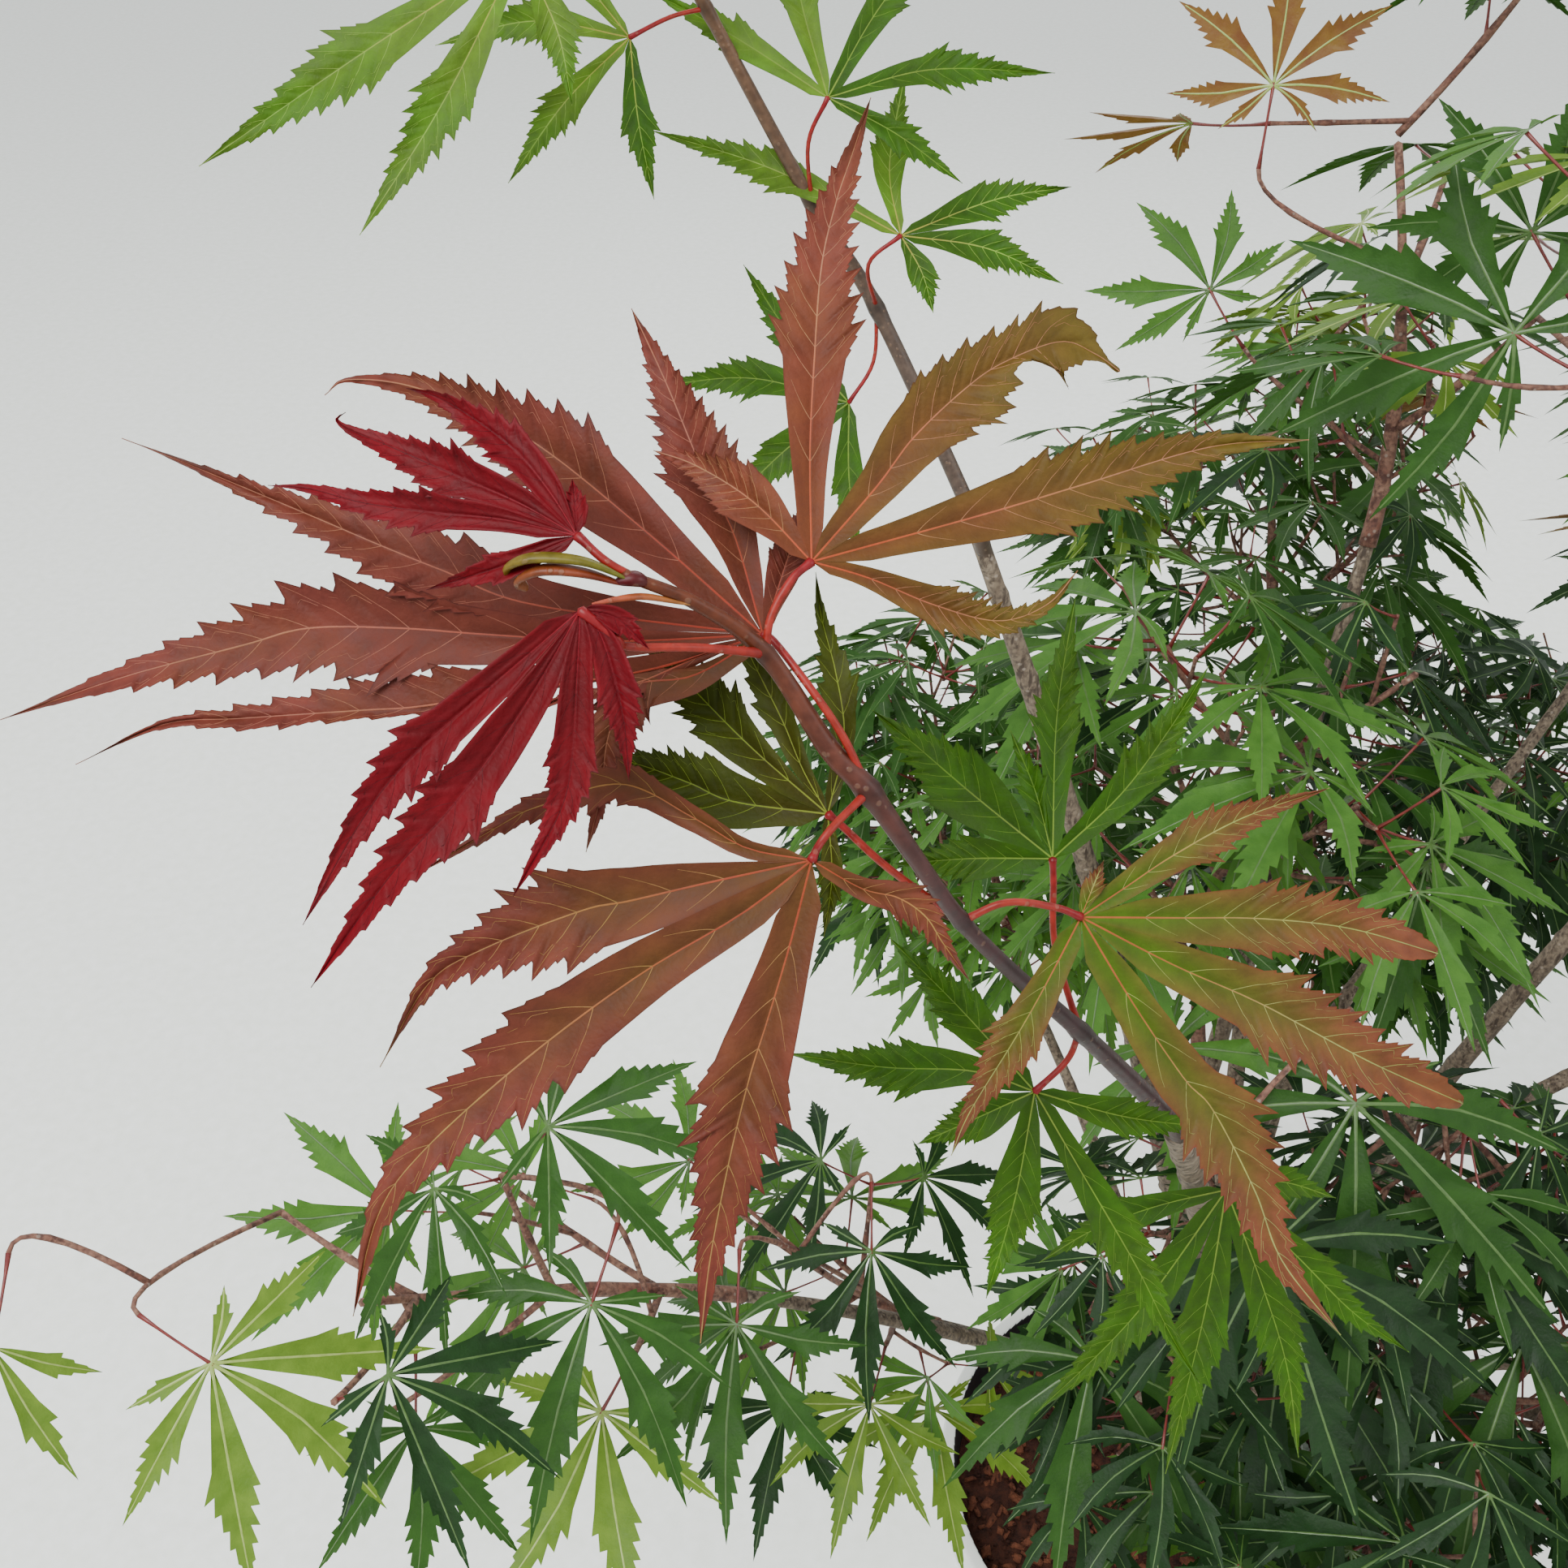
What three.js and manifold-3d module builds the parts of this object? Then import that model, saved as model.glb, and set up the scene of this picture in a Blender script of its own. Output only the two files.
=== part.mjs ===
// A young Japanese maple in a round nursery pot.
// Millimetres, +Z up. The origin is the centre of the pot's flat underside.
import * as THREE from 'three';
import { mergeVertices } from 'three/addons/utils/BufferGeometryUtils.js';
import Module from 'manifold-3d';

const wasm = await Module();
wasm.setup();

// Pot
const POT_HEIGHT = 225;
const RIM_RADIUS = 125;
const RIM_BAND = 26;
const RIM_LEDGE = 5;
const RIM_ROLL = 2.2;
const BASE_RADIUS = 93;
const BASE_ROUND = 4;
const POT_WALL = 2.8;
const POT_FLOOR = 3;
const POT_SEGMENTS = 32;
const DRAIN_SIDES = 8;
const DRAIN_HOLES = 6;
const DRAIN_RADIUS = 6;
const DRAIN_RING = 70;

// Soil
const SOIL_TOP = 204;
const SOIL_FLAT_RADIUS = 48;
const SOIL_DIP = 4;
const GAP = 0.3;

// Trunk
const TRUNK_TOP = [6, -4, 352];
const TRUNK_FOOT_RADIUS = 12.5;
const TRUNK_TOP_RADIUS = 9.5;
const FLARE_RADIUS = 8;
const FLARE_FADE = 0.16;
const FLARE_ROOTS = 5;
const FLARE_WAVE = 0.3;
const TRUNK_CROWN = 0.7;
const TRUNK_STEPS = 7;
const BOUGH_SIDES = 6;
const BOUGH_STEPS = 5;

// Leaves: the middle lobe's length, and shares of it. A leaf's blade is a thin double pyramid over its hub.
const LEAF_LENGTH = 66;
const LEAF_DROOP = 0.2;
const LEAF_THICKNESS = 2.6;
const LOBE_ANGLES = [-88, -43, 0, 43, 88];
const LOBE_LENGTHS = [0.74, 0.95, 1, 0.95, 0.74];
const NOTCH_DEPTH = 0.35;
const LEAF_SMALL = 0.8;
const LEAF_LARGE = 1.12;
const LEAF_NOD_LOW = 4;
const LEAF_NOD_HIGH = 48;

// Leaf stalks: half widths, lengths, and how they leave the twig
const STALK_HEAD = 1.4;
const STALK_FOOT = 0.45;
const STALK_SINK = 0.25;
const STALK_SHORT = 22;
const STALK_LONG = 34;
const STALK_AHEAD_LOW = 0.3;
const STALK_AHEAD_HIGH = 0.8;
const STALK_RISE = 0.3;
const STALK_TWIST = 1.6;
const STALK_HUB_SHARE = 0.08;
const STALK_FREE_SHARE = 0.7;

// Stems, with two side shoots at each joint, and their leaves at the middle and the end of each shoot
const STEM_WIDER = 1.35;
const STEM_TIP_RADIUS = 2.1;
const STEM_JOINTS = 3;
const STEM_PAST_MIDDLE = 0.45;
const STEM_LEAD = 0.4;
const STEM_END_SHARE = 0.35;
const SHOOT_FOOT_RADIUS = 1.6;
const SHOOT_TIP_RADIUS = 1.4;
const SHOOT_ANGLE = THREE.MathUtils.degToRad(51.5);
const SHOOT_SHORT = 0.36;
const SHOOT_LONG = 0.5;
const SHOOT_RISE = 0.12;
const SHOOT_SAG = 0.04;
const SHOOT_LEAF_SHARES = [0.5, 0.98];
const SHOOT_SIDES = 3;
const LAST_LEAF_SHARE = 0.99;
const LAST_LEAF_SIZE = 0.85;

// Clearances: to the next space, to a limb, between leaves, and the part of a shoot that starts in its stem
const SPACE_MARGIN = 2.2;
const LIMB_MARGIN = 4;
const BLADE_MARGIN = 3;
const LEAF_GAP = 7.5;
const LEAF_TRIES = 12;
const SHOOT_FOOT_SHARE = 0.4;
const SHOOT_CLEAR_SHARE = 0.25;

// The near shoot is laid out as it shows from one standpoint: across and up on a plane square to the line
// of sight, and near towards the standpoint.
const STANDPOINT = new THREE.Vector3(-216, -436, 1106);
const SIGHT_PITCH = THREE.MathUtils.degToRad(40);
const SIGHT = new THREE.Vector3(0, Math.cos(SIGHT_PITCH), -Math.sin(SIGHT_PITCH));
const RISE = new THREE.Vector3(0, Math.sin(SIGHT_PITCH), Math.cos(SIGHT_PITCH));
const ACROSS = new THREE.Vector3(1, 0, 0);
const SHOOT_DISTANCE = 193;

const UP = new THREE.Vector3(0, 0, 1);
const vector = (point) => new THREE.Vector3(...point);

// Boughs: where each leaves its parent, where it ends, how far it arches above the straight line, its radii
const BOUGHS = [
  { name: 'bough_front', parent: 'trunk', at: 0.97, tip: [-144, -256, 872], arch: 40, radii: [6.4, 2.4] },
  { name: 'bough_left_top', parent: 'trunk', at: 0.99, tip: [-163, -68, 884], arch: 40, radii: [6.6, 2.4] },
  { name: 'bough_right_top', parent: 'trunk', at: 0.95, tip: [120, -8, 770], arch: 30, radii: [6.6, 2.6] },
  { name: 'bough_back', parent: 'trunk', at: 0.86, tip: [20, 170, 640], arch: 40, radii: [5.8, 2.6] },
  { name: 'bough_left', parent: 'trunk', at: 0.62, tip: [-232, -96, 560], arch: 30, radii: [5.4, 2.4] },
  { name: 'bough_right_low', parent: 'trunk', at: 0.72, tip: [150, -50, 430], arch: 16, radii: [4.8, 2.4] },
  { name: 'bough_top', parent: 'bough_left_top', at: 0.3, tip: [-4, 56, 806], arch: 14, radii: [4.6, 2.4] },
  { name: 'bough_right', parent: 'bough_right_top', at: 0.32, tip: [205, 20, 610], arch: 20, radii: [4.4, 2.4] },
  { name: 'bough_front_right', parent: 'bough_front', at: 0.16, tip: [95, -160, 560], arch: 20, radii: [4.6, 2.4] },
  { name: 'bough_middle', parent: 'bough_front_right', at: 0.3, tip: [4, -112, 528], arch: 2, radii: [3.4, 2.2] },
  { name: 'bough_front_low', parent: 'trunk', at: 0.6, tip: [28, -104, 372], arch: 14, radii: [4.2, 2.2] },
  { name: 'bough_back_right', parent: 'bough_back', at: 0.3, tip: [148, 142, 690], arch: 16, radii: [4.2, 2.4] },
  { name: 'bough_back_low', parent: 'trunk', at: 0.7, tip: [70, 140, 450], arch: 14, radii: [4.4, 2.2] },
  { name: 'bough_centre', parent: 'bough_front', at: 0.42, tip: [-60, -50, 650], arch: 4, radii: [3.8, 2.2] },
  { name: 'bough_back_left', parent: 'trunk', at: 0.66, tip: [-92, 96, 520], arch: 20, radii: [4.4, 2.2] },
  { name: 'bough_left_low', parent: 'bough_left', at: 0.3, tip: [-142, -30, 430], arch: 4, radii: [3.6, 2.2] },
];

// Masses of foliage: the bough that each grows from, the middle of its space, how far the space reaches
const MASSES = [
  { name: 'foliage_right_top', bough: 'bough_right_top', centre: [160, -20, 880], reach: 165, seed: 11 },
  { name: 'foliage_top', bough: 'bough_top', centre: [-8, 104, 905], reach: 150, seed: 12 },
  { name: 'foliage_right', bough: 'bough_right', centre: [290, 0, 690], reach: 165, seed: 13 },
  { name: 'foliage_right_low', bough: 'bough_right_low', centre: [245, -90, 500], reach: 160, seed: 14 },
  { name: 'foliage_front_right', bough: 'bough_front_right', centre: [150, -230, 670], reach: 160, seed: 15 },
  { name: 'foliage_front_low', bough: 'bough_front_low', centre: [50, -215, 410], reach: 140, seed: 16 },
  { name: 'foliage_middle', bough: 'bough_middle', centre: [-5, -140, 575], reach: 155, seed: 24 },
  { name: 'foliage_back', bough: 'bough_back', centre: [20, 250, 730], reach: 165, seed: 27 },
  { name: 'foliage_back_right', bough: 'bough_back_right', centre: [215, 190, 790], reach: 165, seed: 18 },
  { name: 'foliage_back_low', bough: 'bough_back_low', centre: [130, 215, 520], reach: 160, seed: 19 },
  { name: 'foliage_centre', bough: 'bough_centre', centre: [-50, -15, 730], reach: 135, seed: 20 },
  { name: 'foliage_back_left', bough: 'bough_back_left', centre: [-110, 150, 580], reach: 140, seed: 21 },
  { name: 'foliage_left_low', bough: 'bough_left_low', centre: [-185, -40, 480], reach: 145, seed: 22 },
  { name: 'foliage_left', bough: 'bough_left', centre: [-318, -132, 615], reach: 150, seed: 23 },
];

// The near shoot: its stem from the bough to its tip, and each leaf's hub, as across, up, near.
// A leaf's stalk starts at a joint of the stem and bends by way of one point. Its lobes are given as the
// across and up of their tips, their width, and how far their middle bows to the left of a straight line.
const NEAR_STEM = [
  [36.4, -30.4, -50],
  [21.9, -16.9, -20],
  [10.4, -0.9, -5],
  [-2.3, 16.1, 0],
  [-10.6, 22.1, 6],
  [-19.6, 25.8, 10],
];
const NEAR_STEM_RADII = [2.4, 1];
const NEAR_LEAVES = [
  {
    hub: [3.4, 27.4, 0],
    joint: 3,
    by: [-1.4, 22.5, 1],
    lobes: [
      [36.2, 26.3, 5.7, -5], [64.7, 42.4, 10, 1], [40.9, 51.6, 9, 8], [10.7, 84.6, 10, 3],
      [-16.1, 41.3, 7.5, 0],
    ],
  },
  {
    hub: [-2.6, 18.4, -4],
    joint: 2,
    by: [3.4, 11.6, -1],
    lobes: [
      [3.4, 36.6, 5, 0], [-18.8, 58.6, 9.5, -1], [-56.6, 47.9, 11.5, -7], [-81.6, 42.6, 9.5, 4],
      [-96.6, 7.9, 12.5, -6], [-87.3, 2.4, 6.5, 1], [-24.9, -9.4, 3.5, -10],
    ],
  },
  {
    hub: [-25.1, 21.4, 15],
    joint: 3,
    by: [-19, 16.5, 12],
    lobes: [[-59.3, -17.4, 5, -4], [-58.3, -25.1, 6, 1], [-33.4, -13.9, 4.8, 3], [-19.1, 0.4, 3.5, 1]],
  },
  {
    hub: [-25.5, 30.6, 10],
    joint: 5,
    by: [-22, 28.5, 10],
    lobes: [
      [-26.1, 37.6, 3, 0], [-46.6, 48.8, 3.5, -3], [-55.1, 44.9, 4.5, 0], [-63.6, 36.8, 4, 0],
      [-44.1, 23.9, 3, 0],
    ],
  },
  {
    hub: [5.4, -3.7, -10],
    joint: 1,
    by: [12.9, -10.4, -12],
    lobes: [
      [3.9, 26.1, 4.5, -2], [-7.6, 22.6, 4.5, 0], [-20.1, 21.1, 6, 0], [-19.1, 2.8, 6, 0],
      [4.9, -18.9, 3.5, 0],
    ],
  },
  {
    hub: [3.4, -9.4, 2],
    joint: 2,
    by: [6.4, -4.9, 0],
    lobes: [
      [-45.4, -11.2, 5, -10], [-49.8, -34.9, 12, -6.6], [-53.1, -65.6, 11, -7], [-10.3, -68.9, 11.5, -2],
      [22.9, -24.3, 5, 3],
    ],
  },
  {
    hub: [36.6, -16.4, -25],
    joint: 1,
    by: [28.4, -14, -18],
    lobes: [
      [39.4, -9.4, 3, 0], [20.6, -45.8, 6.5, 0], [68.6, -67.9, 10, 1], [83.7, -39.4, 10, 0],
      [80.6, -20.9, 8.8, 2], [67.2, -0.5, 6, 1.5],
    ],
  },
  {
    hub: [33.1, -9.2, -45],
    joint: 0,
    by: [33.4, -20, -48],
    lobes: [[35.9, 23.1, 6, 0], [52.4, 14.6, 6, 0], [27.9, 6.6, 4, 0], [10.9, 9.1, 9, 0], [13.4, -9.9, 6, 0]],
  },
  {
    hub: [30.9, -37.9, -52],
    joint: 0,
    by: [34.9, -34, -52],
    lobes: [
      [12.9, -18.9, 6, 0], [0.2, -33.2, 7, 0], [16.4, -44.4, 6, 0], [24.9, -63.4, 7, 0],
      [51.2, -73.9, 6, 4], [53.4, -42.4, 5, 0],
    ],
  },
];
const NEAR_TIP = [[-19.6, 25.8, 10], [-27, 27.2, 11], [-33, 27.6, 9], [-35, 24.8, 6]];
const NEAR_TIP_RADII = [1.6, 0.6];
const NEAR_DROOP = 0.14;
const NEAR_THICKNESS = 1.8;
const NEAR_STALK_RADIUS = 0.75;
const NEAR_STALK_SIDES = 4;

// A lobe's widest place is half way to its tip. Between two lobes the blade ends at the web, or close behind
// the hub where the lobes leave the back of the leaf open.
const NEAR_WEB = 6;
const OPEN_BACK_WEB = 1.5;
const OPEN_BACK_ANGLE = 2;
const LOBE_SHARE = 0.42;
const BOW_MARGIN = 0.8;

// The shoot behind it, laid out the same way, with leaves of the usual shape: hub, heading in degrees, size
const BEHIND_STEM = [[11.4, 58.6, -207], [3.4, 71.6, -192], [-9.6, 95.6, -167], [-16.6, 108.6, -147]];
const BEHIND_STEM_RADII = [2.6, 1.6];
const BEHIND_LEAVES = [
  { hub: [-9, 108, -165], joint: 3, heading: 80, size: 56 },
  { hub: [-19, 92, -160], joint: 2, heading: 190, size: 52 },
  { hub: [5.4, 84.6, -172], joint: 1, heading: 50, size: 56 },
  { hub: [16.4, 67.6, -187], joint: 0, heading: 60, size: 60 },
  { hub: [8, 47, -215], joint: 0, heading: 165, size: 46 },
];
const BEHIND_LARGE_LEAF = {
  hub: [-32.6, 102.6, -107],
  joint: 3,
  by: [-26, 107, -120],
  lobes: [
    [-72.1, 76.1, 11, 2], [-52.3, 67.6, 8, 0], [-26.1, 83.6, 5.5, 0], [-74, 104, 10, 0], [-56, 128, 8, 0],
    [-30, 124, 5, 0],
  ],
};
const MEASURED_SPACES = [
  { name: 'foliage_front_shoot', centre: [-222, -285, 968], reach: 125 },
  { name: 'foliage_left_top', centre: [-222, -42, 985], reach: 150 },
];

// Random numbers that come out the same on every run
function seeded(seed) {
  let state = seed * 7919 + 1;
  return () => {
    state = (state * 16807) % 2147483647;
    return state / 2147483647;
  };
}

// A closed mesh as a solid that can be joined and cut
function solidOf(geometry) {
  geometry.deleteAttribute('normal');
  geometry.deleteAttribute('uv');
  const merged = mergeVertices(geometry, 1e-4);
  const vertProperties = new Float32Array(merged.getAttribute('position').array);
  const triVerts = new Uint32Array(merged.getIndex().array);
  return new wasm.Manifold(new wasm.Mesh({ numProp: 3, vertProperties, triVerts }));
}

// Joins solids two by two, so that no early join is made over and over
function joined(solids) {
  let row = solids;
  while (row.length > 1) {
    const next = [];
    for (let i = 0; i < row.length; i += 2) {
      next.push(i + 1 < row.length ? row[i].add(row[i + 1]) : row[i]);
    }
    row = next;
  }
  return row[0];
}

// The largest body of a solid, without loose scraps and sealed hollows
function mainBody(solid) {
  let best = null;
  for (const body of solid.decompose()) {
    if (!best || body.volume() > best.volume()) {
      best = body;
    }
  }
  return best;
}

function meshOf(name, solid, material) {
  const body = solid.getMesh();
  const geometry = new THREE.BufferGeometry();
  geometry.setAttribute('position', new THREE.BufferAttribute(body.vertProperties, 3));
  geometry.setIndex(new THREE.BufferAttribute(body.triVerts, 1));
  geometry.computeVertexNormals();
  const mesh = new THREE.Mesh(geometry, material);
  mesh.name = name;
  return mesh;
}

// A tapering limb: a closed cylinder bent along a path, with its radius worked out at each step and angle
function limbSolid(path, radiusAt, sides, steps) {
  const geometry = new THREE.CylinderGeometry(1, 1, 1, sides, steps);
  const frames = path.computeFrenetFrames(steps, false);
  const place = geometry.getAttribute('position');
  for (let i = 0; i < place.count; i += 1) {
    const step = Math.round((place.getY(i) + 0.5) * steps);
    const radius = radiusAt(step / steps, Math.atan2(place.getX(i), place.getZ(i)));
    const point = path.getPointAt(step / steps);
    point.addScaledVector(frames.binormals[step], place.getX(i) * radius);
    point.addScaledVector(frames.normals[step], place.getZ(i) * radius);
    place.setXYZ(i, point.x, point.y, point.z);
  }
  return solidOf(geometry);
}

const taper = (foot, tip) => (share) => foot + (tip - foot) * share;

// A place of the near shoot, slid along its line of sight by as much as it is nearer
function seen([across, up, near]) {
  const ray = SIGHT.clone().multiplyScalar(SHOOT_DISTANCE)
    .addScaledVector(ACROSS, across)
    .addScaledVector(RISE, up);
  return STANDPOINT.clone().addScaledVector(ray, (SHOOT_DISTANCE - near) / SHOOT_DISTANCE);
}

// A leaf: a flat double pyramid over the hub, whose rim follows the outline, counter-clockwise from above
function leafSolid(hub, normal, thickness, outline) {
  const count = outline.length;
  const geometry = new THREE.SphereGeometry(1, count, 2);
  const place = geometry.getAttribute('position');
  for (let i = 0; i < place.count; i += 1) {
    const height = place.getY(i);
    const turn = Math.atan2(place.getZ(i), -place.getX(i)) / (2 * Math.PI);
    const spot = Math.abs(height) > 0.5
      ? hub.clone().addScaledVector(normal, (Math.sign(height) * thickness) / 2)
      : outline[(Math.round(turn * count) + count) % count];
    place.setXYZ(i, spot.x, spot.y, spot.z);
  }
  return solidOf(geometry);
}

// Pot and soil

function wallRadius(height) {
  return BASE_RADIUS + ((RIM_RADIUS - RIM_LEDGE - BASE_RADIUS) * height) / POT_HEIGHT;
}

function potSolid() {
  const bandFoot = POT_HEIGHT - RIM_BAND;
  const profile = [
    [0, 0],
    [BASE_RADIUS - BASE_ROUND, 0],
    [wallRadius(BASE_ROUND), BASE_ROUND],
    [wallRadius(bandFoot), bandFoot],
    [RIM_RADIUS - RIM_ROLL, bandFoot],
    [RIM_RADIUS, bandFoot + RIM_ROLL],
    [RIM_RADIUS, POT_HEIGHT - RIM_ROLL],
    [RIM_RADIUS - RIM_ROLL, POT_HEIGHT],
    [wallRadius(POT_HEIGHT) - POT_WALL + RIM_ROLL, POT_HEIGHT],
    [wallRadius(POT_HEIGHT - RIM_ROLL) - POT_WALL, POT_HEIGHT - RIM_ROLL],
    [wallRadius(POT_FLOOR) - POT_WALL, POT_FLOOR],
    [0, POT_FLOOR],
  ];
  let pot = latheSolid(profile);
  for (let i = 0; i < DRAIN_HOLES; i += 1) {
    const hole = new THREE.CylinderGeometry(DRAIN_RADIUS, DRAIN_RADIUS, POT_FLOOR * 4, DRAIN_SIDES);
    const angle = ((i + 0.5) / DRAIN_HOLES) * 2 * Math.PI;
    hole.rotateX(Math.PI / 2);
    hole.translate(DRAIN_RING * Math.cos(angle), DRAIN_RING * Math.sin(angle), 0);
    pot = pot.subtract(solidOf(hole));
  }
  return pot;
}

function latheSolid(profile) {
  const geometry = new THREE.LatheGeometry(profile.map(([r, z]) => new THREE.Vector2(r, z)), POT_SEGMENTS);
  geometry.rotateX(Math.PI / 2);
  return solidOf(geometry);
}

function soilSolid() {
  const side = (height) => wallRadius(height) - POT_WALL - GAP;
  return latheSolid([
    [0, POT_FLOOR + GAP],
    [side(POT_FLOOR), POT_FLOOR + GAP],
    [side(SOIL_TOP - SOIL_DIP), SOIL_TOP - SOIL_DIP],
    [SOIL_FLAT_RADIUS, SOIL_TOP],
    [0, SOIL_TOP],
  ]);
}

// Trunk and boughs, by name: each limb's path, its radii at the foot and the tip, and how it is divided

const limbs = {};

function addTrunk() {
  const foot = new THREE.Vector3(0, 0, SOIL_TOP + GAP);
  const top = vector(TRUNK_TOP);
  const above = new THREE.Vector3(foot.x, foot.y, (foot.z + top.z) / 2);
  const path = new THREE.QuadraticBezierCurve3(foot, above, top);
  const plain = taper(TRUNK_FOOT_RADIUS, TRUNK_TOP_RADIUS);
  const radiusAt = (share, angle) => {
    const wave = 1 - FLARE_WAVE + FLARE_WAVE * Math.cos(FLARE_ROOTS * angle);
    const radius = plain(share) + FLARE_RADIUS * Math.exp(-share / FLARE_FADE) * wave;
    return share < 1 ? radius : radius * TRUNK_CROWN;
  };
  const radii = [TRUNK_FOOT_RADIUS, TRUNK_TOP_RADIUS];
  limbs.trunk = { path, radii, sides: 3 * FLARE_ROOTS, steps: TRUNK_STEPS, radiusAt };
}

// A bough arches from a point inside its parent to its tip
function addBough({ name, parent, at, tip, arch, radii }) {
  const start = limbs[parent].path.getPoint(at);
  const end = vector(tip);
  const over = start.clone().add(end).multiplyScalar(0.5).addScaledVector(UP, arch);
  const path = new THREE.QuadraticBezierCurve3(start, over, end);
  limbs[name] = { path, radii, sides: BOUGH_SIDES, steps: BOUGH_STEPS, radiusAt: taper(...radii) };
}

// Each limb is cut clear of the ones it grows from and beside
function limbSolids() {
  const solids = {};
  const grown = [];
  for (const [name, limb] of Object.entries(limbs)) {
    let solid = limbSolid(limb.path, limb.radiusAt, limb.sides, limb.steps);
    for (const other of grown) {
      solid = solid.subtract(other);
    }
    solids[name] = mainBody(solid);
    const wider = (share, angle) => limb.radiusAt(share, angle) + GAP;
    grown.push(limbSolid(limb.path, wider, limb.sides, limb.steps));
  }
  return solids;
}

// A mass keeps to the places nearer to its own middle than to any other's, each weighed by its reach
const spaces = [];

function insideSpace(mass, point) {
  const own = point.distanceToSquared(mass.middle) - mass.reach ** 2;
  for (const other of spaces) {
    if (other !== mass) {
      const away = point.distanceToSquared(other.middle) - other.reach ** 2;
      if ((away - own) / (2 * other.middle.distanceTo(mass.middle)) < SPACE_MARGIN) {
        return false;
      }
    }
  }
  return point.distanceTo(mass.middle) < mass.reach;
}

// The distance between two straight pieces a-b and c-d
function distanceBetween(a, b, c, d) {
  const u = b.clone().sub(a);
  const v = d.clone().sub(c);
  const w = a.clone().sub(c);
  const uu = u.dot(u);
  const vv = v.dot(v);
  const uv = u.dot(v);
  const wide = uu * vv - uv * uv;
  let s = wide > 1e-9 ? (uv * v.dot(w) - vv * u.dot(w)) / wide : 0;
  s = Math.min(1, Math.max(0, s));
  const t = Math.min(1, Math.max(0, (uv * s + v.dot(w)) / vv));
  s = Math.min(1, Math.max(0, (uv * t - u.dot(w)) / uu));
  const nearest = a.clone().addScaledVector(u, s);
  return nearest.distanceTo(c.clone().addScaledVector(v, t));
}

function clearOfLimbs(a, b, thickness) {
  for (const limb of Object.values(limbs)) {
    for (let i = 0; i < limb.steps; i += 1) {
      const radius = limb.radii[0] + ((limb.radii[1] - limb.radii[0]) * i) / limb.steps;
      const gap = distanceBetween(a, b, limb.points[i], limb.points[i + 1]);
      if (gap < radius + thickness + LIMB_MARGIN) {
        return false;
      }
    }
  }
  return true;
}

// Growth of one mass

function leafTips({ hub, heading, normal, size }) {
  const side = normal.clone().cross(heading);
  return LOBE_ANGLES.map((degrees, i) => {
    const angle = THREE.MathUtils.degToRad(degrees);
    const length = size * LOBE_LENGTHS[i];
    return hub.clone()
      .addScaledVector(heading, length * Math.cos(angle))
      .addScaledVector(side, length * Math.sin(angle))
      .addScaledVector(UP, -LEAF_DROOP * length);
  });
}

// A leaf as straight pieces: its lobes and its stalk
function leafPieces(leaf) {
  const pieces = leafTips(leaf).map((tip) => [leaf.hub, tip]);
  pieces.push([leaf.hub, leaf.hub.clone().lerp(leaf.foot, STALK_FREE_SHARE)]);
  return pieces;
}

function piecesApart(pieces, others) {
  return pieces.every(([a, b]) => others.every(([c, d]) => distanceBetween(a, b, c, d) > LEAF_GAP));
}

function leafFits(mass, leaf, grown) {
  if (!leaf.pieces.every(([a, b]) => clearOfLimbs(a, b, BLADE_MARGIN))) {
    return false;
  }
  if (!leafTips(leaf).every((tip) => insideSpace(mass, tip))) {
    return false;
  }
  if (!grown.shoots.every((shoot) => piecesApart(leaf.pieces, shoot.pieces))) {
    return false;
  }
  return grown.leaves.every((other) => {
    const apart = other.hub.distanceTo(leaf.hub) > other.size + leaf.size + STALK_LONG;
    return apart || piecesApart(leaf.pieces, other.pieces);
  });
}

// The two directions square to a twig: level, and as near to upright as can be
function crosswise(along) {
  const flat = new THREE.Vector3().crossVectors(along, UP).normalize();
  return [flat, new THREE.Vector3().crossVectors(flat, along)];
}

// One way for a leaf to stand at its site: its stalk leaves on the given side, its blade hangs level or nods
function tryLeaf(site, sign, draw) {
  const [flat, rise] = crosswise(site.along);
  const stalk = STALK_SHORT + (STALK_LONG - STALK_SHORT) * draw();
  const nod = THREE.MathUtils.degToRad(LEAF_NOD_LOW + (LEAF_NOD_HIGH - LEAF_NOD_LOW) * draw());
  const turn = site.turn + (draw() - 0.5) * STALK_TWIST;
  const ahead = STALK_AHEAD_LOW + (STALK_AHEAD_HIGH - STALK_AHEAD_LOW) * draw();
  const size = site.size * (LEAF_SMALL + (LEAF_LARGE - LEAF_SMALL) * draw());
  const out = site.along.clone().multiplyScalar(ahead)
    .addScaledVector(flat, sign * Math.cos(turn))
    .addScaledVector(rise, sign * Math.sin(turn))
    .addScaledVector(UP, STALK_RISE)
    .normalize();
  const level = new THREE.Vector3(out.x, out.y, 0).normalize();
  const leaf = {
    foot: site.foot,
    hub: site.foot.clone().addScaledVector(out, stalk),
    heading: level.clone().multiplyScalar(Math.cos(nod)).addScaledVector(UP, -Math.sin(nod)),
    normal: level.clone().multiplyScalar(Math.sin(nod)).addScaledVector(UP, Math.cos(nod)),
    size,
  };
  leaf.pieces = leafPieces(leaf);
  return leaf;
}

function addShoot(grown, path, steps, footShare, radii) {
  const points = path.getPoints(steps);
  const pieces = points.slice(1).map((point, i) => [points[i].clone().lerp(point, i ? 0 : footShare), point]);
  grown.shoots.push({ path, steps, pieces, radii });
}

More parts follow.
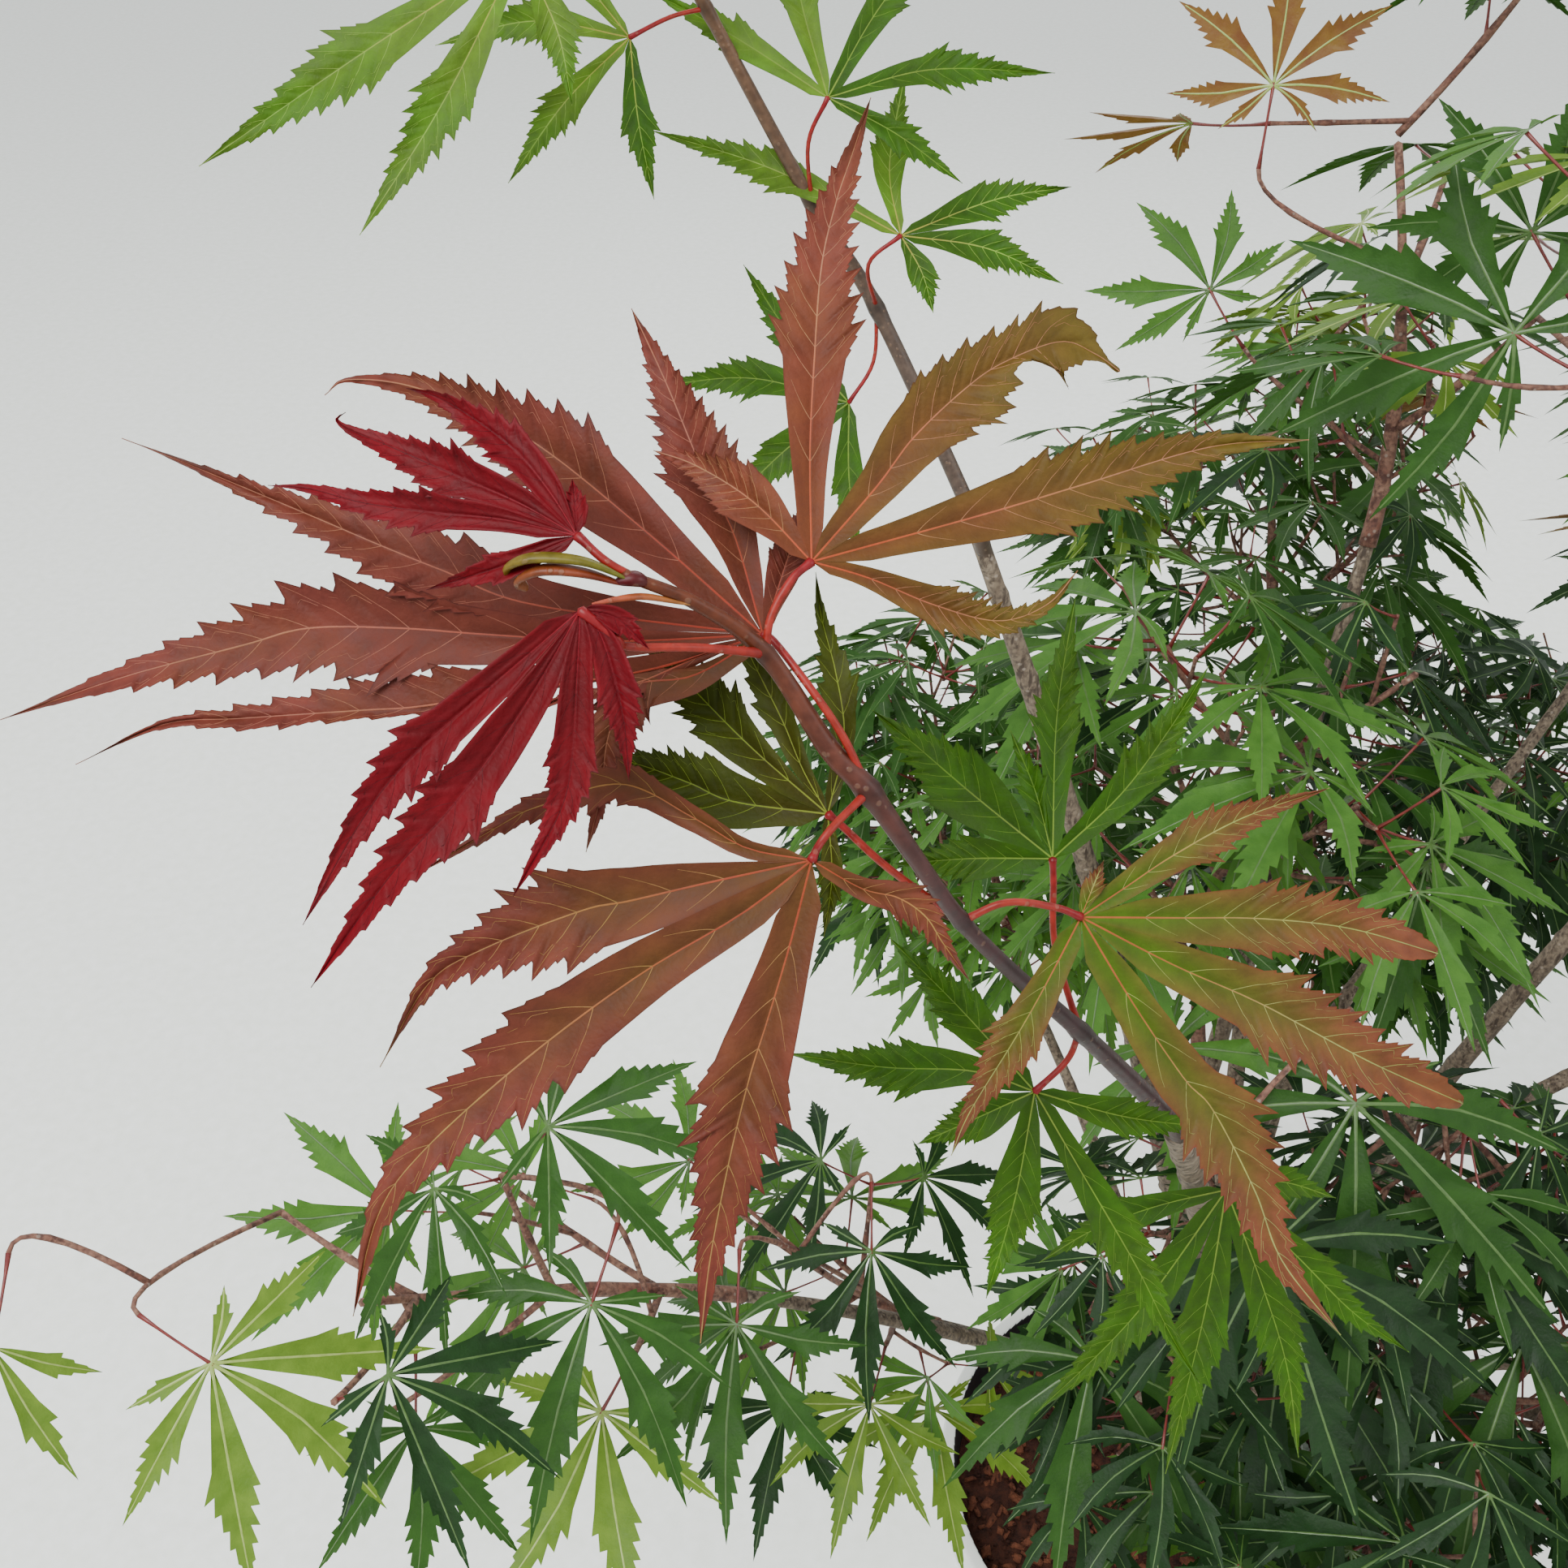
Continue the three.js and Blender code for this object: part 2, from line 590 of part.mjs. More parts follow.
// A side shoot with a joint half way and one at its end
function growShoot(mass, grown, draw, start, direction, length) {
  const end = start.clone().addScaledVector(direction, length).addScaledVector(UP, SHOOT_RISE * length);
  const middle = start.clone().addScaledVector(direction, length / 2)
    .addScaledVector(UP, -SHOOT_SAG * length);
  const clearFrom = start.clone().lerp(end, SHOOT_CLEAR_SHARE);
  if (!insideSpace(mass, end) || !clearOfLimbs(clearFrom, end, SHOOT_FOOT_RADIUS)) {
    return;
  }
  const path = new THREE.QuadraticBezierCurve3(start, middle, end);
  addShoot(grown, path, 2, SHOOT_FOOT_SHARE, [SHOOT_FOOT_RADIUS, SHOOT_TIP_RADIUS]);
  const first = draw() * Math.PI;
  SHOOT_LEAF_SHARES.forEach((share, i) => {
    const turn = first + (i * Math.PI) / 2;
    grown.sites.push({ foot: path.getPoint(share), along: path.getTangent(share), turn, size: LEAF_LENGTH });
  });
}

// The stem of a mass, from 0.3 mm past its bough's tip to beyond the middle of its space
function stemPath(mass) {
  const bough = limbs[mass.bough].path;
  const along = bough.getTangent(1);
  const foot = bough.getPoint(1).addScaledVector(along, GAP);
  const far = mass.middle.clone().addScaledVector(mass.middle.clone().sub(foot), STEM_PAST_MIDDLE);
  const lead = foot.clone().addScaledVector(along, foot.distanceTo(far) * STEM_LEAD);
  return new THREE.QuadraticBezierCurve3(foot, lead, far);
}

function growMass(mass) {
  const draw = seeded(mass.seed);
  const grown = { leaves: [], shoots: [], sites: [] };
  const stem = stemPath(mass);
  addShoot(grown, stem, STEM_JOINTS, 0, [limbs[mass.bough].radii[1] * STEM_WIDER, STEM_TIP_RADIUS]);
  const turn = draw() * Math.PI;
  for (let joint = 1; joint <= STEM_JOINTS; joint += 1) {
    const share = joint / (STEM_JOINTS + STEM_END_SHARE);
    const along = stem.getTangent(share);
    const [flat, rise] = crosswise(along);
    const angle = turn + (joint * Math.PI) / 2;
    for (const sign of [1, -1]) {
      const direction = along.clone().multiplyScalar(Math.cos(SHOOT_ANGLE))
        .addScaledVector(flat, sign * Math.cos(angle) * Math.sin(SHOOT_ANGLE))
        .addScaledVector(rise, sign * Math.sin(angle) * Math.sin(SHOOT_ANGLE));
      const length = mass.reach * (SHOOT_SHORT + (SHOOT_LONG - SHOOT_SHORT) * draw());
      growShoot(mass, grown, draw, stem.getPoint(share), direction, length);
    }
  }
  const last = { foot: stem.getPoint(LAST_LEAF_SHARE), along: stem.getTangent(1), turn };
  grown.sites.push({ ...last, size: LEAF_LENGTH * LAST_LEAF_SIZE });
  for (const site of grown.sites) {
    for (const sign of [1, -1]) {
      for (let attempt = 0; attempt < LEAF_TRIES; attempt += 1) {
        const leaf = tryLeaf(site, sign, draw);
        if (leafFits(mass, leaf, grown)) {
          grown.leaves.push(leaf);
          break;
        }
      }
    }
  }
  return grown;
}

// The outline of the lobes, with a notch between each two
function lobeOutline(leaf) {
  const tips = leafTips(leaf);
  return tips.flatMap((tip, i) => {
    const between = i + 1 < tips.length ? [tip.clone().add(tips[i + 1]).multiplyScalar(0.5)] : [];
    return [tip, ...between.map((point) => leaf.hub.clone().lerp(point, NOTCH_DEPTH))];
  });
}

// The two sides of the stalk, whose foot is in the twig, which close a leaf's outline
function stalkOutline(leaf) {
  const side = leaf.normal.clone().cross(leaf.heading);
  const back = leaf.foot.clone().sub(leaf.hub);
  const near = leaf.hub.clone().addScaledVector(back, STALK_HUB_SHARE);
  const foot = leaf.hub.clone().addScaledVector(back, 1 + STALK_SINK / back.length());
  return [
    near.clone().addScaledVector(side, STALK_HEAD),
    foot.clone().addScaledVector(side, STALK_FOOT),
    foot.clone().addScaledVector(side, -STALK_FOOT),
    near.clone().addScaledVector(side, -STALK_HEAD),
  ];
}

function massSolid(grown) {
  const twigs = grown.shoots.map(({ path, radii, steps }) => {
    return limbSolid(path, taper(...radii), SHOOT_SIDES, steps);
  });
  const leaves = grown.leaves.map((leaf) => {
    const outline = [...lobeOutline(leaf), ...stalkOutline(leaf)];
    return leafSolid(leaf.hub, leaf.normal, LEAF_THICKNESS, outline);
  });
  return mainBody(joined([...twigs, ...leaves]));
}

// The two shoots whose leaves are laid out one by one

function stemFrom(bough, places) {
  const along = limbs[bough].path.getTangent(1);
  const foot = limbs[bough].path.getPoint(1).addScaledVector(along, GAP);
  return new THREE.CatmullRomCurve3([foot, foot.clone().addScaledVector(along, 12), ...places.map(seen)]);
}

// The outline of a leaf from its lobes, counter-clockwise as seen from the standpoint
function nearOutline({ hub, lobes }) {
  const rays = lobes.map(([across, up, width, bow]) => {
    const x = across - hub[0];
    const y = up - hub[1];
    return { angle: Math.atan2(y, x), length: Math.hypot(x, y), width, bow };
  });
  rays.sort((a, b) => a.angle - b.angle);
  const at = (angle, length) => seen([
    hub[0] + length * Math.cos(angle),
    hub[1] + length * Math.sin(angle),
    hub[2] - NEAR_DROOP * length,
  ]);
  const apart = (ray, next) => (next.angle - ray.angle + 2 * Math.PI) % (2 * Math.PI);
  return rays.flatMap(({ angle, length, width, bow }, i) => {
    const after = apart(rays[i], rays[(i + 1) % rays.length]);
    const before = apart(rays[(i + rays.length - 1) % rays.length], rays[i]);
    const shift = Math.sign(bow) * Math.min(Math.abs(bow), width / 2 - BOW_MARGIN);
    const left = Math.min(Math.atan2(width / 2 + shift, length / 2), after * LOBE_SHARE);
    const right = Math.min(Math.atan2(width / 2 - shift, length / 2), before * LOBE_SHARE);
    return [
      at(angle - right, length / 2),
      at(angle, length),
      at(angle + left, length / 2),
      at(angle + after / 2, after > OPEN_BACK_ANGLE ? OPEN_BACK_WEB : NEAR_WEB),
    ];
  });
}

function nearLeaf(leaf, stem) {
  const hub = seen(leaf.hub);
  const stalk = new THREE.QuadraticBezierCurve3(seen(stem[leaf.joint]), seen(leaf.by), hub);
  return [
    limbSolid(stalk, taper(NEAR_STALK_RADIUS, NEAR_STALK_RADIUS), NEAR_STALK_SIDES, 3),
    leafSolid(hub, SIGHT.clone().negate(), NEAR_THICKNESS, nearOutline(leaf)),
  ];
}

function nearShootSolid() {
  const stem = stemFrom('bough_front', NEAR_STEM);
  const pieces = [limbSolid(stem, taper(...NEAR_STEM_RADII), 5, 10)];
  pieces.push(limbSolid(new THREE.CatmullRomCurve3(NEAR_TIP.map(seen)), taper(...NEAR_TIP_RADII), 4, 4));
  for (const leaf of NEAR_LEAVES) {
    pieces.push(...nearLeaf(leaf, NEAR_STEM));
  }
  return mainBody(joined(pieces));
}

function behindShootSolid() {
  const stem = stemFrom('bough_left_top', BEHIND_STEM);
  const pieces = [limbSolid(stem, taper(...BEHIND_STEM_RADII), 5, 6)];
  pieces.push(...nearLeaf(BEHIND_LARGE_LEAF, BEHIND_STEM));
  for (const { hub, joint, heading, size } of BEHIND_LEAVES) {
    const angle = THREE.MathUtils.degToRad(heading);
    const leaf = {
      foot: seen(BEHIND_STEM[joint]),
      hub: seen(hub),
      heading: ACROSS.clone().multiplyScalar(Math.cos(angle)).addScaledVector(RISE, Math.sin(angle)),
      normal: SIGHT.clone().negate(),
      size,
    };
    const stalk = new THREE.LineCurve3(leaf.foot, leaf.hub);
    pieces.push(limbSolid(stalk, taper(NEAR_STALK_RADIUS, NEAR_STALK_RADIUS), NEAR_STALK_SIDES, 1));
    const base = leaf.hub.clone().addScaledVector(leaf.heading, -OPEN_BACK_WEB);
    pieces.push(leafSolid(leaf.hub, leaf.normal, LEAF_THICKNESS, [...lobeOutline(leaf), base]));
  }
  return mainBody(joined(pieces));
}

// The whole plant

const finish = (color, roughness) => new THREE.MeshStandardMaterial({ color, roughness, metalness: 0 });
const POT_FINISH = [0xe4e6df, 0.45];
const SOIL_FINISH = [0x3a2018, 1];
const BARK_FINISH = [0x6f6157, 0.9];
const BRONZE_LEAVES = [0x8e4a3a, 0.55];
const YOUNG_LEAVES = [0x6f9030, 0.55];
const GREEN_LEAVES = [0x2f5a1c, 0.6];

addTrunk();
BOUGHS.forEach(addBough);
for (const limb of Object.values(limbs)) {
  limb.points = limb.path.getPoints(limb.steps);
}
for (const space of [...MEASURED_SPACES, ...MASSES]) {
  spaces.push({ ...space, middle: vector(space.centre) });
}

const plant = new THREE.Group();
plant.add(meshOf('pot', potSolid(), finish(...POT_FINISH)));
plant.add(meshOf('soil', soilSolid(), finish(...SOIL_FINISH)));
for (const [name, solid] of Object.entries(limbSolids())) {
  plant.add(meshOf(name, solid, finish(...BARK_FINISH)));
}
plant.add(meshOf('foliage_front_shoot', nearShootSolid(), finish(...BRONZE_LEAVES)));
plant.add(meshOf('foliage_left_top', behindShootSolid(), finish(...YOUNG_LEAVES)));
for (const mass of spaces.slice(MEASURED_SPACES.length)) {
  plant.add(meshOf(mass.name, massSolid(growMass(mass)), finish(...GREEN_LEAVES)));
}

export default plant;
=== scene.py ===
# A young Japanese maple in a round nursery pot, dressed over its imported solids.
# Growth and layout are worked out in millimetres, and every mesh is written in metres.
import math

import bpy
import numpy as np
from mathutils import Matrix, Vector


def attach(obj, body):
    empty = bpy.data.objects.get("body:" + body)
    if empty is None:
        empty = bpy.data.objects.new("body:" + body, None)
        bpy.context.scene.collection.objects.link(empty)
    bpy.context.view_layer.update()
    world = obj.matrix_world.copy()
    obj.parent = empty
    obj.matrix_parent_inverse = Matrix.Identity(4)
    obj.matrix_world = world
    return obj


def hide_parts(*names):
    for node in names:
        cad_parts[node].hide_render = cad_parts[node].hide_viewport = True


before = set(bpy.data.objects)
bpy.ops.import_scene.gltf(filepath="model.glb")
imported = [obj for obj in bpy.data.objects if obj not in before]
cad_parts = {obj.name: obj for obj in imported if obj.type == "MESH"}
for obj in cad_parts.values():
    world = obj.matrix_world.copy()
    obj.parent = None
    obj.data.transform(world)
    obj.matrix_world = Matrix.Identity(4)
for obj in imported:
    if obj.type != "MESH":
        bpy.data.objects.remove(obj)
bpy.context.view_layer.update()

MM = 0.001
UP = np.array([0.0, 0.0, 1.0])

# The photograph's standpoint, and the plane of the near shoot as it shows from there
STANDPOINT = np.array([-216.0, -436.0, 1106.0])
SIGHT_PITCH = math.radians(40)
SIGHT = np.array([0, math.cos(SIGHT_PITCH), -math.sin(SIGHT_PITCH)])
RISE = np.array([0, math.sin(SIGHT_PITCH), math.cos(SIGHT_PITCH)])
ACROSS = np.array([1.0, 0, 0])
SHOOT_DISTANCE = 193
FRAME_PIXELS = 1932
FOCAL_PIXELS = 1930
SENSOR_WIDTH = 36

# Pot and soil
POT_HEIGHT = 225
RIM_RADIUS = 125
RIM_BAND = 26
RIM_LEDGE = 5
RIM_ROLL = 2.2
BASE_RADIUS = 93
BASE_ROUND = 4
POT_WALL = 2.8
POT_FLOOR = 3
DRAIN_HOLES = 6
DRAIN_RADIUS = 6
DRAIN_RING = 70
SOIL_TOP = 204
SOIL_FLAT_RADIUS = 48
SOIL_DIP = 4
GAP = 0.3

# Trunk
TRUNK_TOP = [6, -4, 352]
TRUNK_RADII = [12.5, 9.5]
FLARE_RADIUS = 8
FLARE_FADE = 0.16
FLARE_ROOTS = 5
FLARE_WAVE = 0.3
TRUNK_STEPS = 7
BOUGH_STEPS = 5

# Boughs: parent, where each leaves it, tip, arch above the straight line, radii at the foot and the tip
BOUGHS = {
    "bough_front": ("trunk", 0.97, [-144, -256, 872], 40, [6.4, 2.4]),
    "bough_left_top": ("trunk", 0.99, [-163, -68, 884], 40, [6.6, 2.4]),
    "bough_right_top": ("trunk", 0.95, [120, -8, 770], 30, [6.6, 2.6]),
    "bough_back": ("trunk", 0.86, [20, 170, 640], 40, [5.8, 2.6]),
    "bough_left": ("trunk", 0.62, [-232, -96, 560], 30, [5.4, 2.4]),
    "bough_right_low": ("trunk", 0.72, [150, -50, 430], 16, [4.8, 2.4]),
    "bough_top": ("bough_left_top", 0.3, [-4, 56, 806], 14, [4.6, 2.4]),
    "bough_right": ("bough_right_top", 0.32, [205, 20, 610], 20, [4.4, 2.4]),
    "bough_front_right": ("bough_front", 0.16, [95, -160, 560], 20, [4.6, 2.4]),
    "bough_middle": ("bough_front_right", 0.3, [4, -112, 528], 2, [3.4, 2.2]),
    "bough_front_low": ("trunk", 0.6, [28, -104, 372], 14, [4.2, 2.2]),
    "bough_back_right": ("bough_back", 0.3, [148, 142, 690], 16, [4.2, 2.4]),
    "bough_back_low": ("trunk", 0.7, [70, 140, 450], 14, [4.4, 2.2]),
    "bough_centre": ("bough_front", 0.42, [-60, -50, 650], 4, [3.8, 2.2]),
    "bough_back_left": ("trunk", 0.66, [-92, 96, 520], 20, [4.4, 2.2]),
    "bough_left_low": ("bough_left", 0.3, [-142, -30, 430], 4, [3.6, 2.2]),
}

# Masses of foliage: bough, middle of the space, its reach, seed, and how often each leaf tint comes up
# in the order of LEAF_TINTS. The low and inner masses draw the darkest green most often, as painted shade
# under the crown.
MASSES = {
    "foliage_right_top": ("bough_right_top", [160, -20, 880], 165, 11, [5, 4, 1, 1, 0]),
    "foliage_top": ("bough_top", [-8, 104, 905], 150, 12, [4, 4, 2, 2, 1]),
    "foliage_right": ("bough_right", [290, 0, 690], 165, 13, [5, 4, 1, 1, 0]),
    "foliage_right_low": ("bough_right_low", [245, -90, 500], 160, 14, [4, 1, 0, 8, 0]),
    "foliage_front_right": ("bough_front_right", [150, -230, 670], 160, 15, [4, 2, 0, 6, 0]),
    "foliage_front_low": ("bough_front_low", [50, -215, 410], 140, 16, [2, 1, 0, 9, 0]),
    "foliage_middle": ("bough_middle", [-5, -140, 575], 155, 24, [3, 1, 0, 9, 0]),
    "foliage_back": ("bough_back", [20, 250, 730], 165, 27, [4, 4, 2, 1, 1]),
    "foliage_back_right": ("bough_back_right", [215, 190, 790], 165, 18, [4, 4, 2, 1, 1]),
    "foliage_back_low": ("bough_back_low", [130, 215, 520], 160, 19, [4, 2, 0, 5, 0]),
    "foliage_centre": ("bough_centre", [-50, -15, 730], 135, 20, [5, 3, 0, 3, 0]),
    "foliage_back_left": ("bough_back_left", [-110, 150, 580], 140, 21, [5, 3, 1, 2, 0]),
    "foliage_left_low": ("bough_left_low", [-185, -40, 480], 145, 22, [5, 3, 1, 2, 0]),
    "foliage_left": ("bough_left", [-318, -132, 615], 150, 23, [4, 4, 1, 1, 0]),
}
MEASURED_SPACES = [([-222, -285, 968], 125), ([-222, -42, 985], 150)]
LEAF_TINTS = ["leaf_deep", "leaf_mid", "leaf_bright", "leaf_painted_shade", "leaf_bronze"]

# Leaves and their stalks, as the solids have them. A pair is the least and the most.
LEAF_LENGTH = 66
LEAF_DROOP = 0.2
LOBE_ANGLES = [-88, -43, 0, 43, 88]
LOBE_LENGTHS = [0.74, 0.95, 1, 0.95, 0.74]
LEAF_SIZES = (0.8, 1.12)
LEAF_NODS = (4, 48)
STALK_LENGTHS = (22, 34)
STALK_AHEAD = (0.3, 0.8)
STALK_RISE = 0.3
STALK_TWIST = 1.6
STALK_FREE_SHARE = 0.7
SMALL_LEAF_STALK = 0.15

# Stems with two side shoots at each joint
STEM_WIDER = 1.35
FINE_STEM_TIP_RADIUS = 1.1
STEM_JOINTS = 3
STEM_PAST_MIDDLE = 0.45
STEM_LEAD = 0.4
STEM_END_SHARE = 0.35
SHOOT_FOOT_RADIUS = 1.6
SHOOT_RADII = [1.6, 1.0]
SHOOT_ANGLE = math.radians(51.5)
SHOOT_LENGTHS = (0.36, 0.5)
SHOOT_RISE = 0.12
SHOOT_SAG = 0.04
SHOOT_LEAF_SHARES = [0.5, 0.98]
LAST_LEAF_SHARE = 0.99
LAST_LEAF_SIZE = 0.85
SPACE_MARGIN = 2.2
LIMB_MARGIN = 4
LIMB_LOOK_ROUND = 80
BLADE_MARGIN = 3
LEAF_GAP = 7.5
LEAF_TRIES = 12
SHOOT_FOOT_SHARE = 0.4
SHOOT_CLEAR_SHARE = 0.25

# Finer twigs, which the solids leave out. They come in two orders, each forking from what grew before it,
# with shorter twigs and smaller leaves, closer together, and the second only in dense masses. An order's
# facts are shares along a shoot, shares along the stem, shortest and longest as shares of the mass's reach,
# gap, sizes of the leaves, radii at the foot and the tip, and how often a leaf is tried.
FINER_ORDERS = [
    ([0.28, 0.5, 0.74, 0.98], [0.2, 0.45, 0.7, 0.95], [0.2, 0.32], 4.2, [0.88, 0.66], [1.0, 0.65], 12),
    ([0.5, 0.9], [0.1, 0.33, 0.58, 0.82], [0.14, 0.24], 2.6, [0.78, 0.6], [0.8, 0.5], 9),
]
DENSE_MASSES = ["foliage_front_low", "foliage_middle", "foliage_right_low", "foliage_front_right",
                "foliage_back", "foliage_back_low", "foliage_back_left"]

# Parts of the view, each left, bottom, right and top on the plane of the near shoot: nothing grows where the
# plant stands open, and no finer twigs where it is sparse
OPEN_VIEWS = [(21.4, 48.6, 60.4, 99), (60.4, 79.6, 97, 99), (-98, -59.4, -66.6, 99), (-98, -99, -78, -80)]
SPARSE_VIEWS = [(-97, -99, 16.4, -21.4), (60.4, 58, 97, 80)]

# Leaves seen behind the near shoot: hub as across, up and near, heading in degrees, length, tint and roll in
# degrees
SEEN_LEAVES = {
    "foliage_left": [
        ([-70.6, -71.4, -277], -34, 66, "leaf_bright", 0),
        ([-97.6, -69.4, -257], 260, 45, "leaf_bright", 15),
        ([-48.6, -52.4, -367], 178, 62, "leaf_mid", 10),
        ([-32, -48.1, -367], 160, 44, "leaf_mid", -20),
        ([-23.7, -64, -307], -108, 66, "leaf_deep", 0),
        ([-45.4, -79.3, -327], -90, 52, "leaf_deep", 12),
    ],
    "foliage_left_low": [
        ([-5.8, -66.6, -367], -92, 68, "leaf_deep", -8),
        ([10.8, -57.6, -407], -90, 58, "leaf_painted_shade", 10),
        ([-11.6, -46.4, -407], 140, 50, "leaf_mid", 0),
    ],
    "foliage_middle": [
        ([70.4, -39.4, -270], -86, 84, "leaf_deep", 10),
        ([83, -53, -290], -95, 76, "leaf_painted_shade", 0),
        ([60, -57, -260], -70, 72, "leaf_painted_shade", 0),
        ([38, -71, -320], -100, 66, "leaf_deep", 10),
        ([91, -69, -300], -105, 74, "leaf_deep", 5),
        ([76, -84, -330], -90, 72, "leaf_painted_shade", 0),
        ([56, -81, -340], -95, 68, "leaf_deep", 0),
        ([61.4, -67.4, -327], -95, 70, "leaf_painted_shade", -10),
        ([73.4, -73.4, -347], -110, 72, "leaf_deep", 0),
        ([41.4, -63.4, -367], -105, 70, "leaf_painted_shade", 15),
    ],
    "foliage_centre": [
        ([47.4, -32.4, -327], -45, 62, "leaf_mid", 0),
    ],
    "foliage_top": [
        ([60.3, 86.1, -327], 80, 50, "leaf_bronze", 0),
        ([50.3, 81.4, -347], 180, 46, "leaf_bronze", 75),
        ([52.5, 60.9, -407], 120, 50, "leaf_mid", 0),
        ([90, 55.5, -264], 150, 75, "leaf_deep", 0),
        ([92.2, 68, -307], 120, 60, "leaf_deep", 15),
    ],
}
SEEN_CLEARANCE = 55
SEEN_STALK = 26
SEEN_STALK_RADII = [1.1, 0.7]
SEEN_STALK_STEPS = 3
STALK_ORIGINS = 12
STALK_LEAD = 1.5
STALK_BEND = 0.5
STEM_TRIM = 0.04


def unit(direction):
    return direction / np.linalg.norm(direction)


def units(rows):
    return rows / np.linalg.norm(rows, axis=1)[:, None]


def between(ends, share):
    low, high = ends
    return low + (high - low) * share


def blend(first, last, share):
    return first * (1 - share) + last * share


def bell(away, breadth):
    """1 in the middle, fading on both sides"""
    return np.exp(-((away / breadth) ** 2))


def round_angles(count):
    return np.arange(count) / count * 2 * math.pi


def smoothstep(low, high, value):
    """A share that eases from 0 at low to 1 at high"""
    share = np.clip((value - low) / (high - low), 0, 1)
    return share * share * (3 - 2 * share)


def seeded(seed):
    """Random numbers between 0 and 1 that come out the same on every run"""
    state = seed * 7919 + 1
    while True:
        state = state * 16807 % 2147483647
        yield state / 2147483647


def seen(place):
    """A place given as across, up and near on the plane of the near shoot, slid along its line of sight"""
    across, up, near = np.moveaxis(np.asarray(place, float), -1, 0)[..., None]
    ray = SIGHT * SHOOT_DISTANCE + across * ACROSS + up * RISE
    return STANDPOINT + ray * (SHOOT_DISTANCE - near) / SHOOT_DISTANCE


def in_view(points, windows):
    """Whether any of these places shows from the standpoint inside a part of the view"""
    ray = np.atleast_2d(points) - STANDPOINT
    scale = SHOOT_DISTANCE / (ray @ SIGHT)
    across = ray @ ACROSS * scale
    up = ray @ RISE * scale
    return any(
        ((across > left) & (across < right) & (up > bottom) & (up < top)).any()
        for left, bottom, right, top in windows
    )


class Bend:
    """A curve from its first place to its last, drawn towards the middle one"""

    def __init__(self, first, middle, last):
        self.places = [np.array(place, float) for place in (first, middle, last)]

    def point(self, share):
        first, middle, last = self.places
        rest = 1 - share
        return rest * rest * first + 2 * rest * share * middle + share * share * last

    def tangent(self, share):
        step = 1e-4
        return unit(self.point(min(share + step, 1)) - self.point(max(share - step, 0)))

    def points(self, steps):
        return np.array([self.point(i / steps) for i in range(steps + 1)])

    def part(self, share):
        """The same curve as far as a share along it"""
        first, middle, _ = self.places
        return Bend(first, first + (middle - first) * share, self.point(share))


def smooth_line(places, steps=8):
    """Points along a smooth curve through the given places"""
    places = np.asarray(places, float)
    ends = np.vstack([2 * places[0] - places[1], places, 2 * places[-1] - places[-2]])
    line = []
    for a, b, c, d in zip(ends, ends[1:], ends[2:], ends[3:]):
        for share in np.arange(steps) / steps:
            line.append(
                0.5 * (2 * b + (c - a) * share + (2 * a - 5 * b + 4 * c - d) * share**2
                       + (3 * b - a - 3 * c + d) * share**3)
            )
    return np.array([*line, places[-1]])


# Materials

BLACK = (0, 0, 0, 1)
WHITE = (1, 1, 1, 1)


def linear(code):
    """A web colour as the linear red, green and blue that shaders use"""
    channels = [int(code[i:i + 2], 16) / 255 for i in (1, 3, 5)]
    return np.array([c / 12.92 if c <= 0.04045 else ((c + 0.055) / 1.055) ** 2.4 for c in channels])


def rgba(code):
    return (*linear(code), 1)


